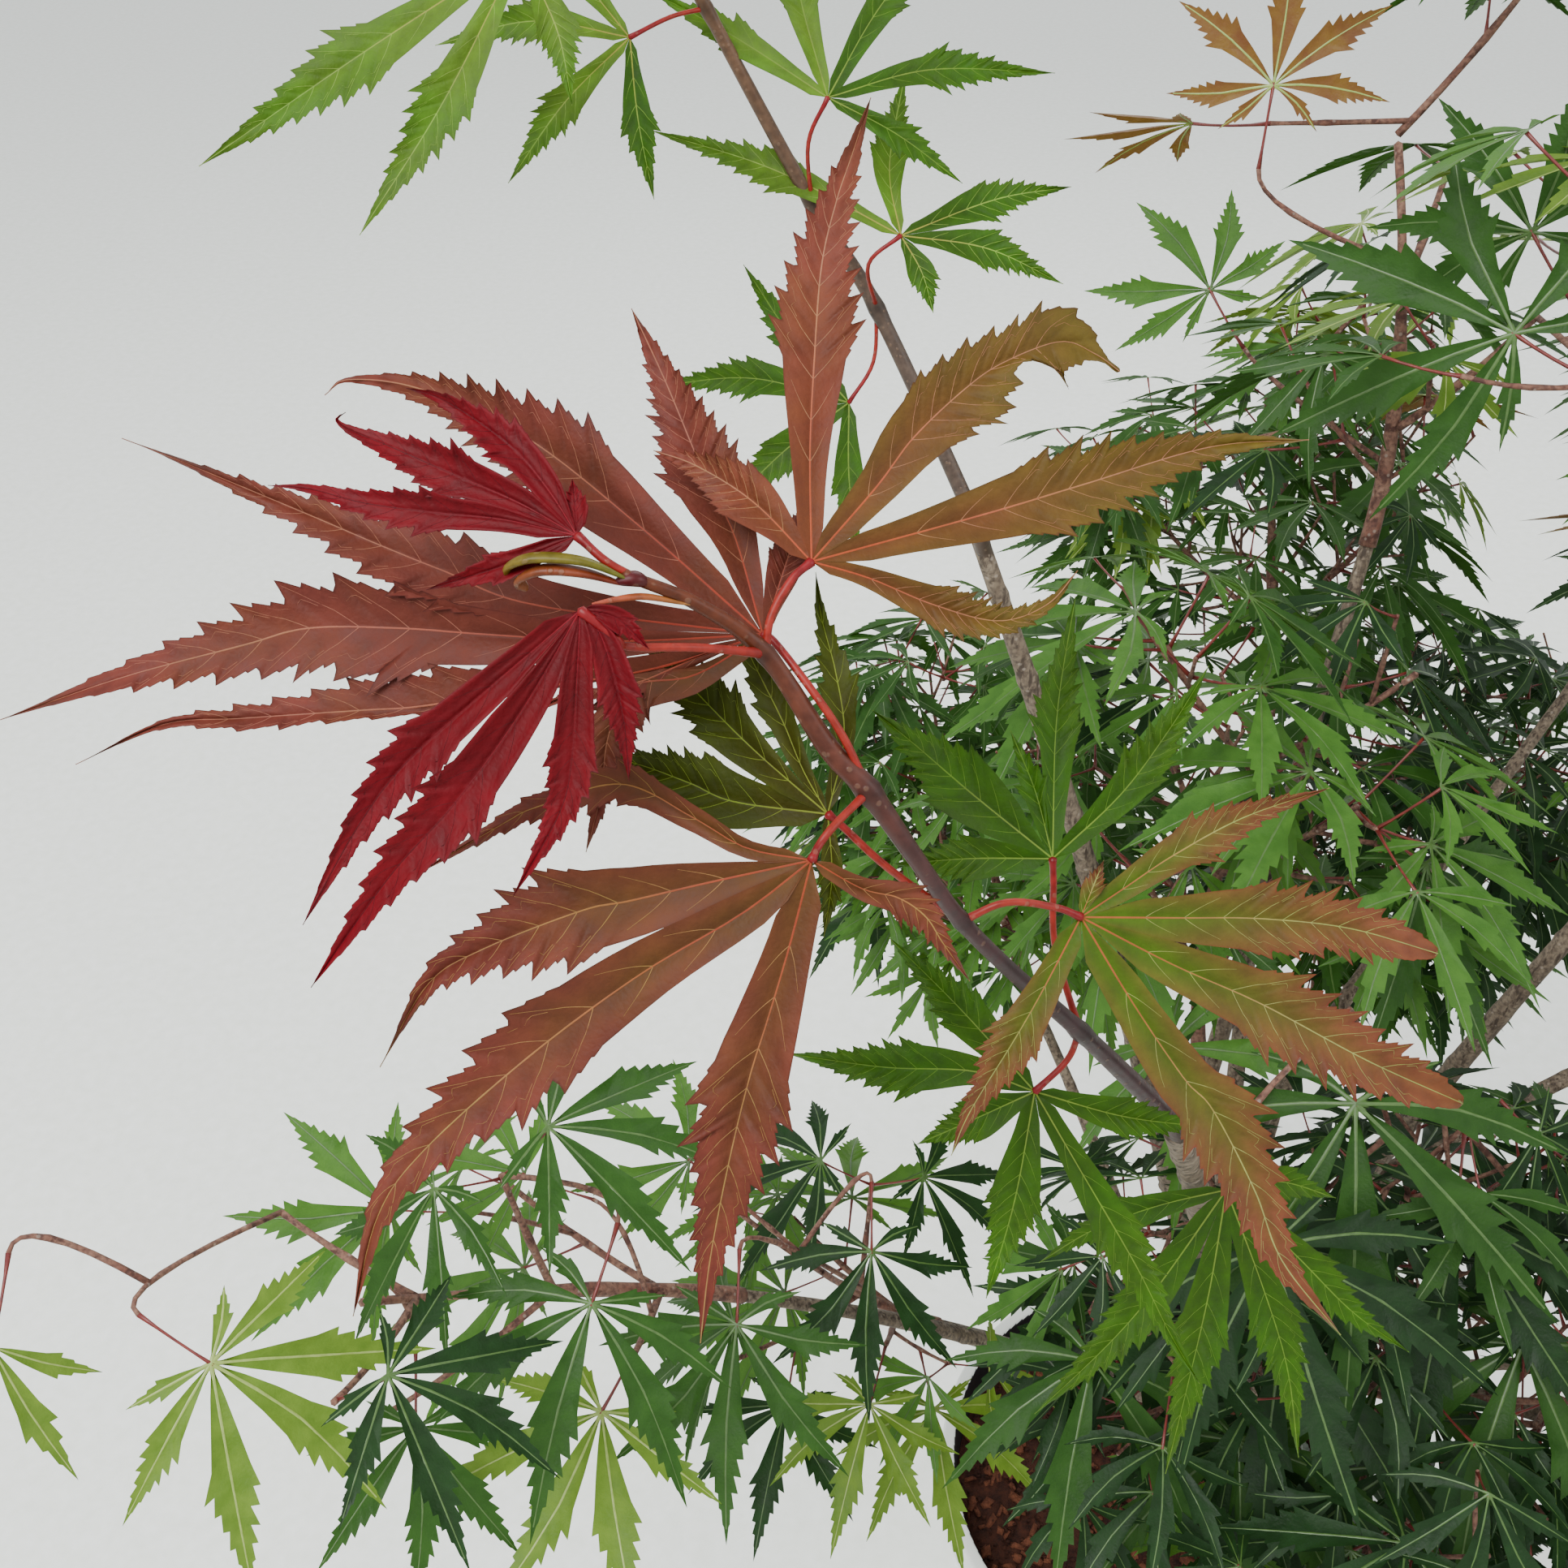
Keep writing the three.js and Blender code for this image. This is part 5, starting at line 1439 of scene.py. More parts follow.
# The shoot behind, at the top left
BEHIND_LEAVES = {
    "a": dict(hub=[-32.6, 102.6, -107], kind="young", lobes=[
        (8, [(-52, 90), (-72.1, 76.1)]),
        (7, [(-42, 84), (-52.3, 67.6)]),
        (5.5, [(-28, 93), (-26.1, 83.6)]),
        (9, [(-54, 104.5), (-74, 104)]),
        (8, [(-45, 116), (-56, 128)]),
        (6, [(-32, 114), (-30, 124)])],
        stalk=[(-16.6, 108.6, -147), (-26, 107, -120)]),
    "b": dict(hub=[14.4, 67.6, -187], kind="young", lobes=[
        (5, [(-1, 75.6), (-16.6, 80.6)]),
        (5, [(13, 76), (14.9, 87.6)]),
        (5, [(26, 72), (35.4, 73.6)], GREEN),
        (5, [(25, 66), (34.4, 61.6)], GREEN),
        (4, [(17, 63), (18.4, 58)], GREEN)],
        stalk=[(11.4, 58.6, -207), (10.4, 64, -190)]),
    "c": dict(hub=[5.4, 84.6, -172], kind="green", lobes=[
        (5, [(18, 88), (33.4, 87.6)]),
        (5, [(12, 96), (22, 108)]),
        (5, [(2, 97), (0, 110)], YOUNG),
        (4.5, [(-6, 92), (-17, 98)], YOUNG),
        (4, [(14, 80), (22, 74)])],
        stalk=[(3.4, 71.6, -192), (3, 79, -178)]),
    "d": dict(hub=[-9, 108, -165], kind="young", lobes=[
        (5, [(2, 116), (10, 126)]),
        (5, [(-7, 119), (-6, 131)]),
        (4.5, [(-18, 114), (-27, 122)]),
        (4.5, [(2, 108), (13, 108)], GREEN)],
        stalk=[(-16.6, 108.6, -147), (-13, 109, -160)]),
    "e": dict(hub=[-19, 92, -160], kind="young", lobes=[
        (5, [(-31, 94), (-43, 91)]),
        (5, [(-27, 84), (-34, 74)]),
        (4.5, [(-18, 82), (-16, 72)], GREEN),
        (4.5, [(-26, 100), (-36, 107)])],
        stalk=[(-9.6, 95.6, -167), (-14, 94.5, -163)]),
    "f": dict(hub=[8, 47, -215], kind="green", lobes=[
        (5, [(-4, 50), (-16, 49)]),
        (5, [(0, 41), (-8, 33)]),
        (4.5, [(8, 38), (9, 28)]),
        (4.5, [(1, 55), (-5, 64)])],
        stalk=[(11.4, 58.6, -207), (11, 52, -212)]),
}
NEAR_DROOP = 0.14
NEAR_WEB = 1.25
NEAR_THICKNESS = 0.32
NEAR_STEM = [(36.4, -30.4, -50), (28.4, -23.4, -33), (21.9, -16.9, -20), (16.4, -9.4, -11), (10.4, -0.9, -5),
             (5.4, 4.6, -3), (-2.3, 16.1, 0), (-10.6, 22.1, 6), (-19.6, 25.8, 10)]
NEAR_STEM_RADII = [2.3, 1.9, 1.4, 1.2, 1.15, 1.2, 1.5, 1.4, 1.1, 0.85, 0.7]
BEHIND_STEM = [(11.4, 58.6, -207), (3.4, 71.6, -192), (-9.6, 95.6, -167), (-16.6, 108.6, -147)]


def on_grid(grid, columns, row, column):
    """Places between a grid's points, given by row and by share across"""
    row = np.clip(row, 0, len(grid) - 1.001)
    low = row.astype(int)
    place = np.interp(column, columns, np.arange(len(columns)))
    left = np.minimum(place.astype(int), len(columns) - 2)
    side = (place - left)[:, None]
    first = blend(grid[low, left], grid[low, left + 1], side)
    second = blend(grid[low + 1, left], grid[low + 1, left + 1], side)
    return blend(first, second, (row - low)[:, None])


# Veins of the near leaves. A midrib and a side vein have their width for a lobe of no width, what each
# millimetre of the lobe adds, and how far they taper; a fork has its foot's and its reach's shares.
VEIN_SINK = 0.02
NEAR_MIDRIB = (0.18, 0.022, 0.8)
MIDRIB_LEAST = 0.04
MIDRIB_SPREAD = (0.1, 0.7)
MIDRIB_RISE = 0.12
SIDE_VEIN = (0.075, 0.005, 0.6)
VEIN_STEPS = 8
VEIN_RISE = 0.04
VEIN_BOW = 0.1
VEIN_REACH = 0.88
VEIN_PALENESS = 0.92
LAST_VEIN = 0.86
HUB_VEINS = [2.6, 1.3]
HUB_VEIN_REACH = 0.72
FORK_LEAST_LOBE = 5.5
FORK_RISE = 0.03
FORK_BACK = 0.2
FORK_LENGTH = 0.7
FORK_BEND = 1.2
FORK_FOOT = 0.5
FORK_REACH = 0.34
FORK_WIDTH = 0.6


def tapered(widths, lobe_width, share):
    least, more, taper = widths
    return (least + more * lobe_width) * (1 - taper * share)


def add_vein(shape, line, widths, lift, tints):
    """A vein as a low ridge that lies along a line on the blade"""
    along = np.gradient(line[:, :2], axis=0)
    along /= np.linalg.norm(along, axis=1)[:, None] + 1e-9
    side = np.stack([-along[:, 1], along[:, 0]], -1) * (widths / 2)[:, None]
    ridge = np.repeat(line[:, None], 3, axis=1)
    ridge[:, 0, :2] += side
    ridge[:, 2, :2] -= side
    ridge[:, :, 2] += (-VEIN_SINK, lift, -VEIN_SINK)
    shape.add(seen(ridge), grid_faces(len(line), 3)[:, ::-1], 0, np.repeat(tints, 3, axis=0))


def add_veins(shape, upper, columns, share, style, width, veins):
    """The midrib, and side veins that bend forward to the teeth and fork on their way"""
    inner, outer = veins
    rows = np.arange(len(share))
    tints = blend(inner, outer, smoothstep(*MIDRIB_SPREAD, share)[:, None])
    middle = upper[:, len(columns) // 2]
    add_vein(shape, middle, tapered(NEAR_MIDRIB, width, share) + MIDRIB_LEAST, MIDRIB_RISE, tints)
    steps = np.linspace(0, 1, VEIN_STEPS)
    tips = share[style.base_rows + TOOTH_TIP::len(style.tooth)]
    gap = tips[1] - tips[0]
    pale = np.tile(outer * VEIN_PALENESS, (len(steps), 1))
    thin = tapered(SIDE_VEIN, width, steps)
    ends = [tips[0] - back * gap for back in HUB_VEINS] + list(tips[tips < LAST_VEIN])
    for side in (-1, 1):
        for i, tip in enumerate(ends):
            bent = tip - gap * (0.5 - 0.5 * steps) - VEIN_BOW * gap * np.sin(np.pi * steps)
            reach = VEIN_REACH if i >= len(HUB_VEINS) else HUB_VEIN_REACH
            line = on_grid(upper, columns, np.interp(bent, share, rows), side * reach * steps)
            add_vein(shape, line, thin, VEIN_RISE, pale)
            if i >= len(HUB_VEINS) and width > FORK_LEAST_LOBE:
                fork = tip - FORK_BACK * gap + gap * FORK_LENGTH * steps**FORK_BEND
                across = side * (FORK_FOOT + FORK_REACH * steps)
                line = on_grid(upper, columns, np.interp(fork, share, rows), across)
                add_vein(shape, line, thin * FORK_WIDTH, FORK_RISE, pale)


MOST_NARROW = 5
FEWER_TEETH = 3
LEAST_TEETH = 4
NEAR_BASE_ROWS = 9
BLOTCH_DEPTH = 0.12
GROOVE_PAINTED_SHADE = 0.16
MARGIN_COLUMN = 0.96
MARGIN_SHARE = 0.7
THIN_EDGE = np.array([0, 0.6, 0.9, 1, 0.9, 0.6, 0])


def lobe_relief(kind, along, across, columns, halves, phase, length, draw):
    """How far the upper side stands near at each point of its grid, and the turn of its waves"""
    cell = np.sin(np.pi * phase)[:, None] * smoothstep(0.1, 0.35, along)
    near = kind["fold"] * across * halves - NEAR_DROOP * length * along
    near = near + kind["ripple"] * cell * np.sin(np.pi * np.clip(across * 1.05, 0, 1))
    near = near + kind["pleat"] * np.sin(3 * np.pi * across) * smoothstep(0, 0.15, along) * (1 - along)
    turn = next(draw) * 6
    wave = np.sin(turn + 7 * along + 1.2 * columns[None])
    near = near + kind["wave"] * wave * across * smoothstep(0, 0.5, along)
    near = near + (next(draw) - 0.4) * 0.09 * length * smoothstep(0.45, 1, along) ** 2
    return near, turn


def lobe_tints(kind, tints, along, across, columns, phase, turn):
    """The blade's tint at each point of its grid, darkened as painted shade along the grooves at its side
    veins, first without and then with its dark margin
    """
    inner, outer = [linear(code) for code in tints]
    blade = blend(inner, outer, smoothstep(0.1, 0.8, along * 0.75 + across * 0.3)[..., None])
    blotch = np.sin(turn + 9 * along + 4 * columns[None]) * np.sin(2 * turn + 17 * along - 3 * columns[None])
    blade = blade * (1 + BLOTCH_DEPTH * blotch)[..., None]
    # Painted shade: the blade is darker where its relief dips along each side vein, away from the midrib
    shade = 1 - GROOVE_PAINTED_SHADE * (1 - np.sin(np.pi * phase)[:, None]) * smoothstep(0.1, 0.3, across)
    blade = blade * shade[..., None]
    edge = (MARGIN_SHARE * (across > MARGIN_COLUMN) * smoothstep(0.15, 0.4, along))[..., None]
    return blade, blend(blade, linear(kind["margin"]), edge)


def near_lobe(shape, hub, lobe, web, kind, draw):
    """One lobe as a thin closed body: a veined upper side and a plain lower side, with one toothed edge"""
    width, places, *more = lobe
    tints, drawn, bites = more + [kind["tints"], POINTED, []][len(more):]
    teeth = max(LEAST_TEETH, kind["teeth"] - (FEWER_TEETH if width < MOST_NARROW else 0))
    neck = kind["neck"]
    style = LobeStyle(teeth, TOOTH, FINE_COLUMNS, NEAR_BASE_ROWS, kind["depth"], neck=neck, drawn=drawn)
    line = [(0, 0)] + [(x - hub[0], y - hub[1]) for x, y in places]
    points, share, columns, halves, phase, length = lobe_grid(line, width, web, style, draw, bites=bites)
    across = np.abs(columns)[None]
    along = share[:, None]
    near, turn = lobe_relief(kind, along, across, columns, halves, phase, length, draw)
    upper = np.dstack([points + np.asarray(hub[:2]), near + hub[2]])
    blade, edged = lobe_tints(kind, tints, along, across, columns, phase, turn)
    rows, wide = near.shape
    shape.add(seen(upper), grid_faces(rows, wide)[:, ::-1], 0, edged.reshape(-1, 3))
    picks = [0, 1, 3, wide // 2, wide - 4, wide - 2, wide - 1]
    lower = upper[:, picks].copy()
    lower[..., 2] -= NEAR_THICKNESS * (THIN_EDGE * smoothstep(0, 0.06, along) * (1 - along**16))
    under = linear(kind["under"]) * 0.6 + blade[:, picks] * 0.4
    shape.add(seen(lower), grid_faces(rows, len(picks)), 0, under.reshape(-1, 3))
    add_veins(shape, upper, columns, share, style, width, [linear(code) for code in kind["veins"]])


def tint_line(codes, share):
    """Tints along a line, from the first colour to the last"""
    return between([linear(code) for code in codes], share[:, None])


STALK_TINTS = ("#7a1016", "#8a2418")
STALK_SIDES = 10
STALK_STEPS = 6
STALK_RADIUS = 0.52
STALK_FOOT = 0.3
STALK_FOOT_FADE = 0.05
STALK_HEAD = 0.14
STALK_HEAD_SHARE = 0.85
STALK_LIFT = 0.2
OLD_JOINT = 1.5
OLD_JOINT_SWELLING = 0.2
OLD_JOINT_SHADE = 0.45
STEM_SIDES = 16
STEM_RELIEF = 0.06
STREAK_SIDES = 12
STREAK_END = 0.16
STREAK_ROUNDNESS = 0.7
OLD_WOOD = 6
NEW_WOOD = 12


def dress_near_leaf(name, leaf, node, slot, seed):
    """A leaf whose lobes are laid out one by one, with its stalk"""
    draw = seeded(seed)
    hub = leaf["hub"]
    rays = [np.subtract(places[0], hub[:2]) for _, places, *_ in leaf["lobes"]]
    webs = webs_of(np.array([math.atan2(ray[1], ray[0]) for ray in rays])) * NEAR_WEB
    shape = Shape()
    for lobe, web in zip(leaf["lobes"], webs):
        near_lobe(shape, hub, lobe, web, KINDS[leaf["kind"]], draw)
    places = [*leaf["stalk"], [hub[0], hub[1], hub[2] + STALK_LIFT]]
    line = smooth_line([seen(place) for place in places], STALK_STEPS)
    share = np.linspace(0, 1, len(line))
    swelling = STALK_FOOT * np.exp(-share / STALK_FOOT_FADE)
    radii = STALK_RADIUS + swelling + STALK_HEAD * smoothstep(STALK_HEAD_SHARE, 1, share)
    tints = tint_line(STALK_TINTS, 0.5 + 0.5 * np.sin(5 * share))
    add_tube(shape, line, radii, STALK_SIDES, STALK_KIND, tints)
    shape.piece(name, ["near_leaf", "near_stem"], slot, [node])


def stem_line(bough, places):
    path = LIMBS[bough].path
    along = path.tangent(1)
    foot = path.point(1) - along * OLD_WOOD
    return smooth_line([foot, path.point(1) + along * NEW_WOOD, *[seen(place) for place in places]], 10)


def near_stem(bough, places, joints, radii, codes, seed):
    """The stem of a measured shoot: ringed joints, and a colour that turns from old wood to young"""
    line = stem_line(bough, places)
    share = np.linspace(0, 1, len(line))
    radius = np.interp(share, np.linspace(0, 1, len(radii)), radii)
    tints = tint_line(codes, smoothstep(0.3, 0.9, share))
    for joint in joints:
        ring = bell(np.linalg.norm(line - seen(joint), axis=1), OLD_JOINT)
        radius = radius * (1 + OLD_JOINT_SWELLING * ring)
        tints = tints * (1 - OLD_JOINT_SHADE * ring)[:, None]
    relief = ripple(seeded(seed), [1, 2, 3, 5], 0.5)
    length = np.linspace(0, len(line), len(line))
    rough = 1 + STEM_RELIEF * relief(round_angles(STEM_SIDES)[None], length[:, None])
    shape = Shape()
    add_tube(shape, line, radius[:, None] * rough, STEM_SIDES, 0, tints)
    return shape


def add_streak(shape, places, radius, flatness, codes):
    """A slender part that tapers to both ends and is flatter one way than the other"""
    line = smooth_line([seen(place) for place in places], 8)
    share = np.linspace(0, 1, len(line))
    angle = round_angles(STREAK_SIDES)
    section = 1 / np.sqrt(np.cos(angle) ** 2 + (np.sin(angle) / flatness) ** 2)
    swelling = np.sin(np.pi * np.clip(share * 0.96 + 0.02, 0, 1)) ** STREAK_ROUNDNESS
    taper = STREAK_END + (1 - STREAK_END) * swelling
    add_tube(shape, line, radius * taper[:, None] * section[None], STREAK_SIDES, 0, tint_line(codes, share))


# The bud at the near shoot's tip, the youngest pair of leaves still rolled up beside it, and a scale below
# them: places, radius, flatness and tints
BUD = [
    ([(-16.6, 24.6, 8.6), (-18.4, 25.3, 9.6), (-20.8, 24.9, 10)], 1.15, 0.8, ("#541210", "#460810")),
    ([(-19.6, 25.4, 10.4), (-24.6, 27.4, 11.6), (-30.6, 27.9, 11.4), (-33.8, 26.9, 10), (-34, 25.6, 8.4)],
     1.15, 0.5, ("#55560a", "#6c5216")),
    ([(-19.8, 24.6, 9.8), (-24.6, 26, 10.6), (-29.6, 26.4, 10.4), (-32.6, 25.2, 8.8), (-31.6, 24, 7.6)],
     1.35, 0.45, ("#66220f", "#7c4420")),
    ([(-11.6, 22.1, 7), (-17.6, 23.1, 9), (-23.6, 22.2, 14)], 0.5, 0.8, ("#8a5a24", "#a0402c")),
]
STEM_SEED = 501
LEAF_SEED = 510
BEHIND_STEM_SEED = 521
BEHIND_LEAF_SEED = 530
BEHIND_STEM_RADII = [2.4, 1.3]
NEAR_JOINTS = [(36.4, -30.4, -50), (21.9, -16.9, -20), (10.4, -0.9, -5), (-2.3, 16.1, 0)]


def dress_shoot(name, shape, leaves, node, slot, seed):
    """A measured shoot: its stem, with what stands on it, and its leaves"""
    shape.piece(name + "_stem", ["near_stem"], slot, [node])
    for i, (letter, leaf) in enumerate(leaves.items()):
        dress_near_leaf(f"{name}_leaf_{letter}", leaf, node, slot, seed + i)


def dress_near_shoot():
    codes = ("#3a2426", "#552712")
    shape = near_stem("bough_front", NEAR_STEM, NEAR_JOINTS, NEAR_STEM_RADII, codes, STEM_SEED)
    for streak in BUD:
        add_streak(shape, *streak)
    dress_shoot("front_shoot", shape, NEAR_LEAVES, "foliage_front_shoot", "leaf_bronze", LEAF_SEED)


def dress_behind_shoot():
    codes = ("#4e4036", "#5e432e")
    shape = near_stem("bough_left_top", BEHIND_STEM, BEHIND_STEM, BEHIND_STEM_RADII, codes, BEHIND_STEM_SEED)
    dress_shoot("left_top", shape, BEHIND_LEAVES, "foliage_left_top", "leaf_young", BEHIND_LEAF_SEED)


# Pot and soil


RIM_ROUND = 1.4
RIM_STEP = 0.4
FOOT_RISE = 1.2
FOOT_ROUND = 0.6
FLOOR_CORNER = 3
DRAIN_MARGIN = 14
POT_SIDES = 144
FLOOR_SIDES = 96
DRAIN_SIDES = 24


def wall_radius(height):
    return BASE_RADIUS + (RIM_RADIUS - RIM_LEDGE - BASE_RADIUS) * height / POT_HEIGHT


def arc(centre, radius, first, last, steps=6):
    """Points on a quarter round, given by its angles in degrees"""
    angles = np.radians(np.linspace(first, last, steps))
    return [(centre[0] + radius * math.cos(a), centre[1] + radius * math.sin(a)) for a in angles]


def turned(profile, angles):
    """A ring of points round the upright middle for each radius and height of a profile"""
    profile = np.asarray(profile, float)
    radius = profile[:, :1]
    height = np.repeat(profile[:, 1:], len(angles), axis=1)
    return np.dstack([radius * np.cos(angles), radius * np.sin(angles), height])


def dress_pot():
    band_foot = POT_HEIGHT - RIM_BAND
    inner = wall_radius(POT_HEIGHT) - POT_WALL
    foot = DRAIN_RING + DRAIN_MARGIN
    corner = POT_FLOOR + FLOOR_CORNER
    points = turned([
        (foot, FOOT_RISE),
        *arc((foot + 1, FOOT_ROUND), FOOT_ROUND, 180, 270, 3),
        *arc((BASE_RADIUS - BASE_ROUND, BASE_ROUND), BASE_ROUND, 270, 360, 6),
        (wall_radius(band_foot * 0.5), band_foot * 0.5),
        (wall_radius(band_foot - 3), band_foot - 3),
        (wall_radius(band_foot) + RIM_STEP, band_foot),
        *arc((RIM_RADIUS - RIM_ROUND, band_foot + RIM_ROUND), RIM_ROUND, 270, 360, 4),
        (RIM_RADIUS, band_foot + RIM_BAND * 0.5),
        *arc((RIM_RADIUS - RIM_ROLL, POT_HEIGHT - RIM_ROLL), RIM_ROLL, 0, 90),
        *arc((inner + RIM_ROLL, POT_HEIGHT - RIM_ROLL), RIM_ROLL, 90, 180),
        (wall_radius(SOIL_TOP) - POT_WALL, SOIL_TOP),
        (wall_radius(corner) - POT_WALL, corner),
        (wall_radius(POT_FLOOR) - POT_WALL - FLOOR_CORNER, POT_FLOOR),
    ], round_angles(POT_SIDES))
    faces = grid_faces(len(points), POT_SIDES, True)
    centres = points.reshape(-1, 3)[faces].mean(1)
    inside = np.hypot(centres[:, 0], centres[:, 1]) < wall_radius(centres[:, 2]) - POT_WALL * 0.75
    inside &= centres[:, 2] > 2
    shape = Shape()
    shape.add(points, faces, inside.astype(int))
    add_base(shape)
    shape.piece("pot_shell", ["pot_white", "pot_black"], "pot_shell", ["pot"])


def add_base(shape):
    """The pot's floor between its foot and its middle, a plate with a ring of round drain holes"""
    outer = DRAIN_RING + DRAIN_MARGIN
    inner = DRAIN_RING - DRAIN_MARGIN
    part = 2 * math.pi / DRAIN_HOLES
    turns = [(hole + 0.5) * part for hole in range(DRAIN_HOLES)]
    around = round_angles(DRAIN_SIDES)
    floor_rim = wall_radius(POT_FLOOR) - POT_WALL - FLOOR_CORNER
    fan = [(0, 1 + i, 1 + (i + 1) % FLOOR_SIDES) for i in range(FLOOR_SIDES)]
    cells = []
    for i in range(DRAIN_SIDES):
        j = (i + 1) % DRAIN_SIDES
        cells += [(i, DRAIN_SIDES + i, DRAIN_SIDES + j), (i, DRAIN_SIDES + j, j)]
    for level, rim, flip in ((FOOT_RISE, outer, True), (POT_FLOOR, floor_rim, False)):
        edge = [(inner * math.cos(a), inner * math.sin(a), level) for a in round_angles(FLOOR_SIDES)]
        add_flat(shape, [(0, 0, level), *edge], fan, flip)
        for turn in turns:
            hub = np.array([DRAIN_RING * math.cos(turn), DRAIN_RING * math.sin(turn)])
            ring = hub + DRAIN_RADIUS * np.stack([np.cos(around), np.sin(around)], -1)
            box = [box_place(a, turn, part, inner, rim) for a in around]
            add_flat(shape, [(x, y, level) for x, y in [*ring, *box]], cells, flip)
    for turn in turns:
        line = [(DRAIN_RING * math.cos(turn), DRAIN_RING * math.sin(turn), z) for z in (FOOT_RISE, POT_FLOOR)]
        loops, _ = rings(np.array(line), [DRAIN_RADIUS] * 2, DRAIN_SIDES)
        shape.add(loops, grid_faces(2, DRAIN_SIDES, True)[:, ::-1], 1)


def add_flat(shape, points, faces, flip):
    faces = np.array(faces)
    shape.add(points, faces[:, ::-1] if flip else faces, 0 if flip else 1)


def box_place(direction, middle, part, inner, outer):
    """Where a ray from a drain hole's centre meets the edge of its share of the ring round the floor"""
    start = DRAIN_RING * np.array([math.cos(middle), math.sin(middle)])
    ray = np.array([math.cos(direction), math.sin(direction)])
    low = 0.0
    high = 2.0 * outer
    for _ in range(30):
        reach = (low + high) / 2
        x, y = start + ray * reach
        turn = abs((math.atan2(y, x) - middle + math.pi) % (2 * math.pi) - math.pi)
        if inner <= math.hypot(x, y) <= outer and turn <= part / 2:
            low = reach
        else:
            high = reach
    return start + ray * low


# Potting mix: how it lies below the level of its top, its bumps, and chips and crumbs strewn over it, each as
# how many, how large and which finish
SOIL_SEED = 61
SOIL_SIDES = 120
SOIL_RINGS = 42
SOIL_SINK = 1.2
BUMPS = 14
BUMP_HEIGHT = 0.7
SOIL_GRAIN = 0.25
CHIP_SINK = 0.9
CHIPS = (620, [3.4, 2.2, 0.9], 1)
CRUMBS = (1500, [1.3, 1.0, 0.8], 0)
CHIP_SIZES = (0.45, 1.5)
CHIP_CORNERS = (0.6, 1.1)
CHIP_LEAN = 0.35
CHIP_LEVELS = (-0.6, 0.8)
CHIP_SPOTS = (0.012, 0.95)


def dress_soil():
    """Potting mix: an uneven surface strewn with chips of bark and crumbs"""
    draw = np.random.default_rng(SOIL_SEED)
    edge = wall_radius(SOIL_TOP - SOIL_DIP) - POT_WALL - GAP
    radii = np.concatenate([[0.01], np.linspace(4, edge, SOIL_RINGS)])
    angles = round_angles(SOIL_SIDES)
    r, a = np.meshgrid(radii, angles, indexing="ij")
    x = r * np.cos(a)
    y = r * np.sin(a)
    waves = zip(draw.normal(0, 0.25, BUMPS), draw.normal(0, 0.25, BUMPS),
                draw.uniform(0, 6, BUMPS), draw.uniform(0.1, 0.5, BUMPS))
    bumps = sum(np.sin(x * fx + y * fy + phase) * size for fx, fy, phase, size in waves)
    slope = SOIL_DIP * smoothstep(SOIL_FLAT_RADIUS, edge, r)
    grain = draw.normal(0, SOIL_GRAIN, r.shape) * (r > 3)
    top = np.dstack([x, y, SOIL_TOP - SOIL_SINK - slope + bumps * BUMP_HEIGHT + grain])
    corner = POT_FLOOR + FLOOR_CORNER
    bottom = turned([(wall_radius(corner) - POT_WALL - GAP - 1, corner + 0.4)], angles)
    shape = Shape()
    shape.add(top, grid_faces(len(radii), SOIL_SIDES, True)[:, ::-1])
    shape.add(np.vstack([top[-1:], bottom]), grid_faces(2, SOIL_SIDES, True)[:, ::-1])
    strew(shape, draw, edge, *CHIPS)
    strew(shape, draw, edge, *CRUMBS)
    shape.piece("soil_surface", ["soil", "chip"], "potting_mix", ["soil"])


def strew(shape, draw, edge, count, size, kind):
    """Rough chips scattered over the soil, each a box with its corners drawn in and its edges uneven"""
    corners = np.array([(i, j, k) for k in (-1, 1) for j in (-1, 1) for i in (-1, 1)], float)
    box = np.array([(0, 2, 3), (0, 3, 1), (4, 5, 7), (4, 7, 6), (0, 1, 5), (0, 5, 4),
                    (2, 6, 7), (2, 7, 3), (0, 4, 6), (0, 6, 2), (1, 3, 7), (1, 7, 5)])
    for _ in range(count):
        spot = edge * math.sqrt(draw.uniform(*CHIP_SPOTS))
        turn = draw.uniform(0, 2 * math.pi)
        lean = draw.normal(0, CHIP_LEAN, 2)
        chip = corners * size * draw.uniform(*CHIP_SIZES, 3) * draw.uniform(*CHIP_CORNERS, corners.shape)
        spin = draw.uniform(0, math.pi)
        x = chip[:, 0] * math.cos(spin) - chip[:, 1] * math.sin(spin)
        y = chip[:, 0] * math.sin(spin) + chip[:, 1] * math.cos(spin)
        z = chip[:, 2] + lean[0] * x + lean[1] * y
        slope = SOIL_DIP * smoothstep(SOIL_FLAT_RADIUS, edge, spot)
        height = SOIL_TOP - CHIP_SINK - slope + draw.uniform(*CHIP_LEVELS)
        points = np.stack([x, y, z], -1) + [spot * math.cos(turn), spot * math.sin(turn), height]
        away = np.hypot(points[:, 0], points[:, 1]).max()
        if away < wall_radius(SOIL_TOP) - POT_WALL - 1:
            shape.add(points, box, kind)


# Camera, floor and light


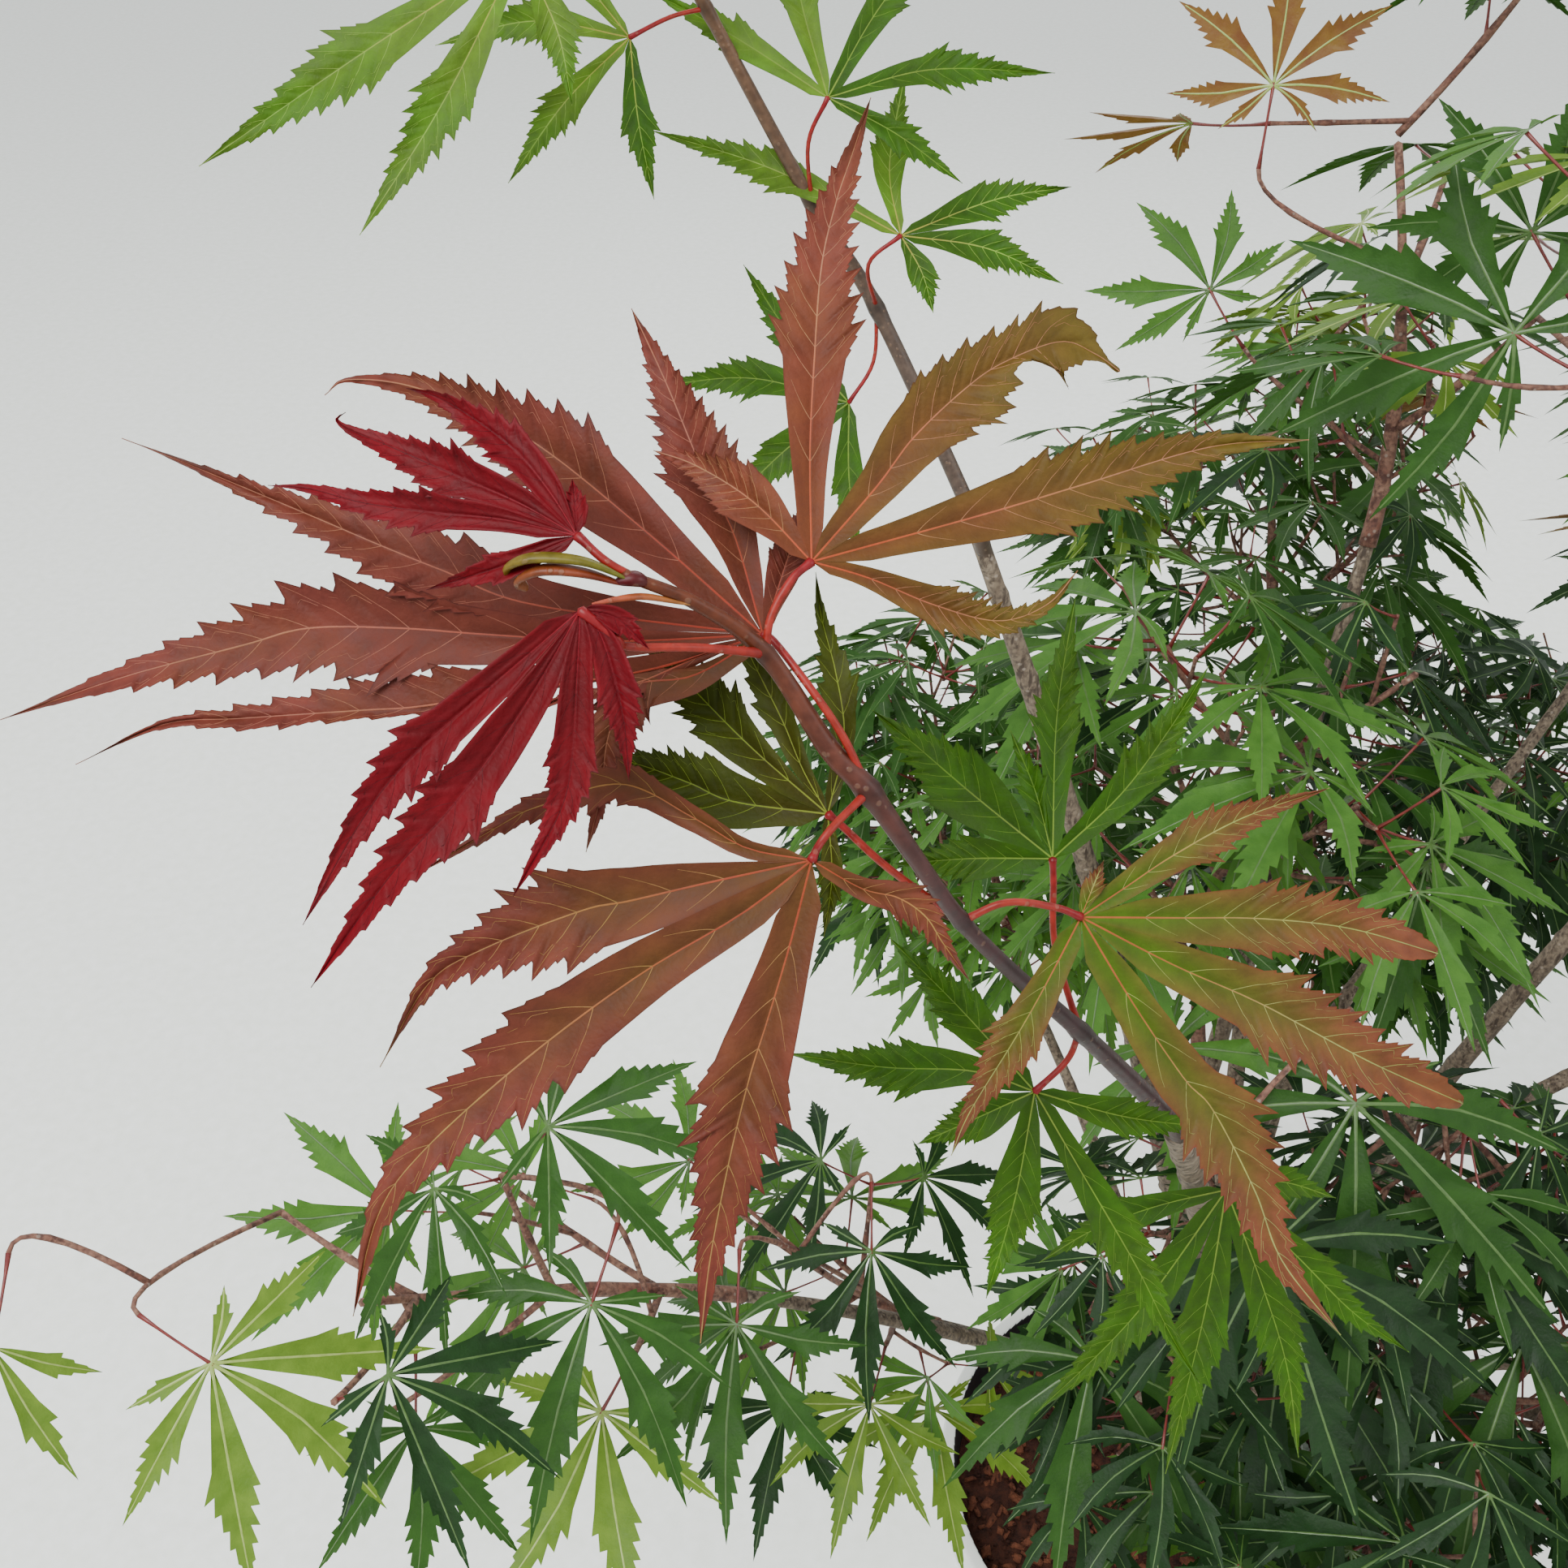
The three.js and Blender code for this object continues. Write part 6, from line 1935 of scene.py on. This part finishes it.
def make_camera():
    camera = bpy.data.objects.new("camera", bpy.data.cameras.new("camera"))
    camera.data.sensor_width = SENSOR_WIDTH
    camera.data.lens = SENSOR_WIDTH * FOCAL_PIXELS / FRAME_PIXELS
    camera.data.clip_start = 0.01
    camera.location = STANDPOINT * MM
    camera.rotation_euler = (math.pi / 2 - SIGHT_PITCH, 0, 0)
    bpy.context.scene.collection.objects.link(camera)
    bpy.context.scene.camera = camera


# Lamps: place, size and power. All look at the middle of the plant.
LIGHTS = {
    "key": ((-1.1, -1.3, 2.9), 1.8, 104),
    "fill": ((1.8, -0.8, 1.9), 1.6, 22),
    "back": ((0.4, 2.0, 2.2), 1.6, 22),
}
LIT_PLACE = Vector((0, 0, 0.6))
SKY = (0.93, 0.96, 1, 1)
SKY_STRENGTH = 1.1
FLOOR_HALF = 6.0
FLOOR_BELOW = 0.0004


def make_light(name, place, size, power):
    lamp = bpy.data.lights.new(name, "AREA")
    lamp.shape = "DISK"
    lamp.size = size
    lamp.energy = power
    holder = bpy.data.objects.new(name, lamp)
    holder.location = place
    holder.rotation_euler = (LIT_PLACE - Vector(place)).to_track_quat("-Z", "Y").to_euler()
    bpy.context.scene.collection.objects.link(holder)


def make_stage():
    mesh = bpy.data.meshes.new("floor")
    half = FLOOR_HALF
    corners = [(x, y, -FLOOR_BELOW) for x, y in ((-half, -half), (half, -half), (half, half), (-half, half))]
    mesh.from_pydata(corners, [], [(0, 1, 2, 3)])
    mesh.materials.append(FINISHES["floor"])
    floor = bpy.data.objects.new("floor", mesh)
    bpy.context.scene.collection.objects.link(floor)
    world = bpy.data.worlds.new("studio")
    world.use_nodes = True
    world.node_tree.nodes["Background"].inputs["Color"].default_value = SKY
    world.node_tree.nodes["Background"].inputs["Strength"].default_value = SKY_STRENGTH
    bpy.context.scene.world = world
    for name, facts in LIGHTS.items():
        make_light(name, *facts)


make_camera()
make_stage()
dress_pot()
dress_soil()
for number, (limb_name, limb) in enumerate(LIMBS.items()):
    dress_limb(limb_name, limb, BARK_SEED + number)
dress_near_shoot()
dress_behind_shoot()
for one in ALL_MASSES:
    dress_mass(one)
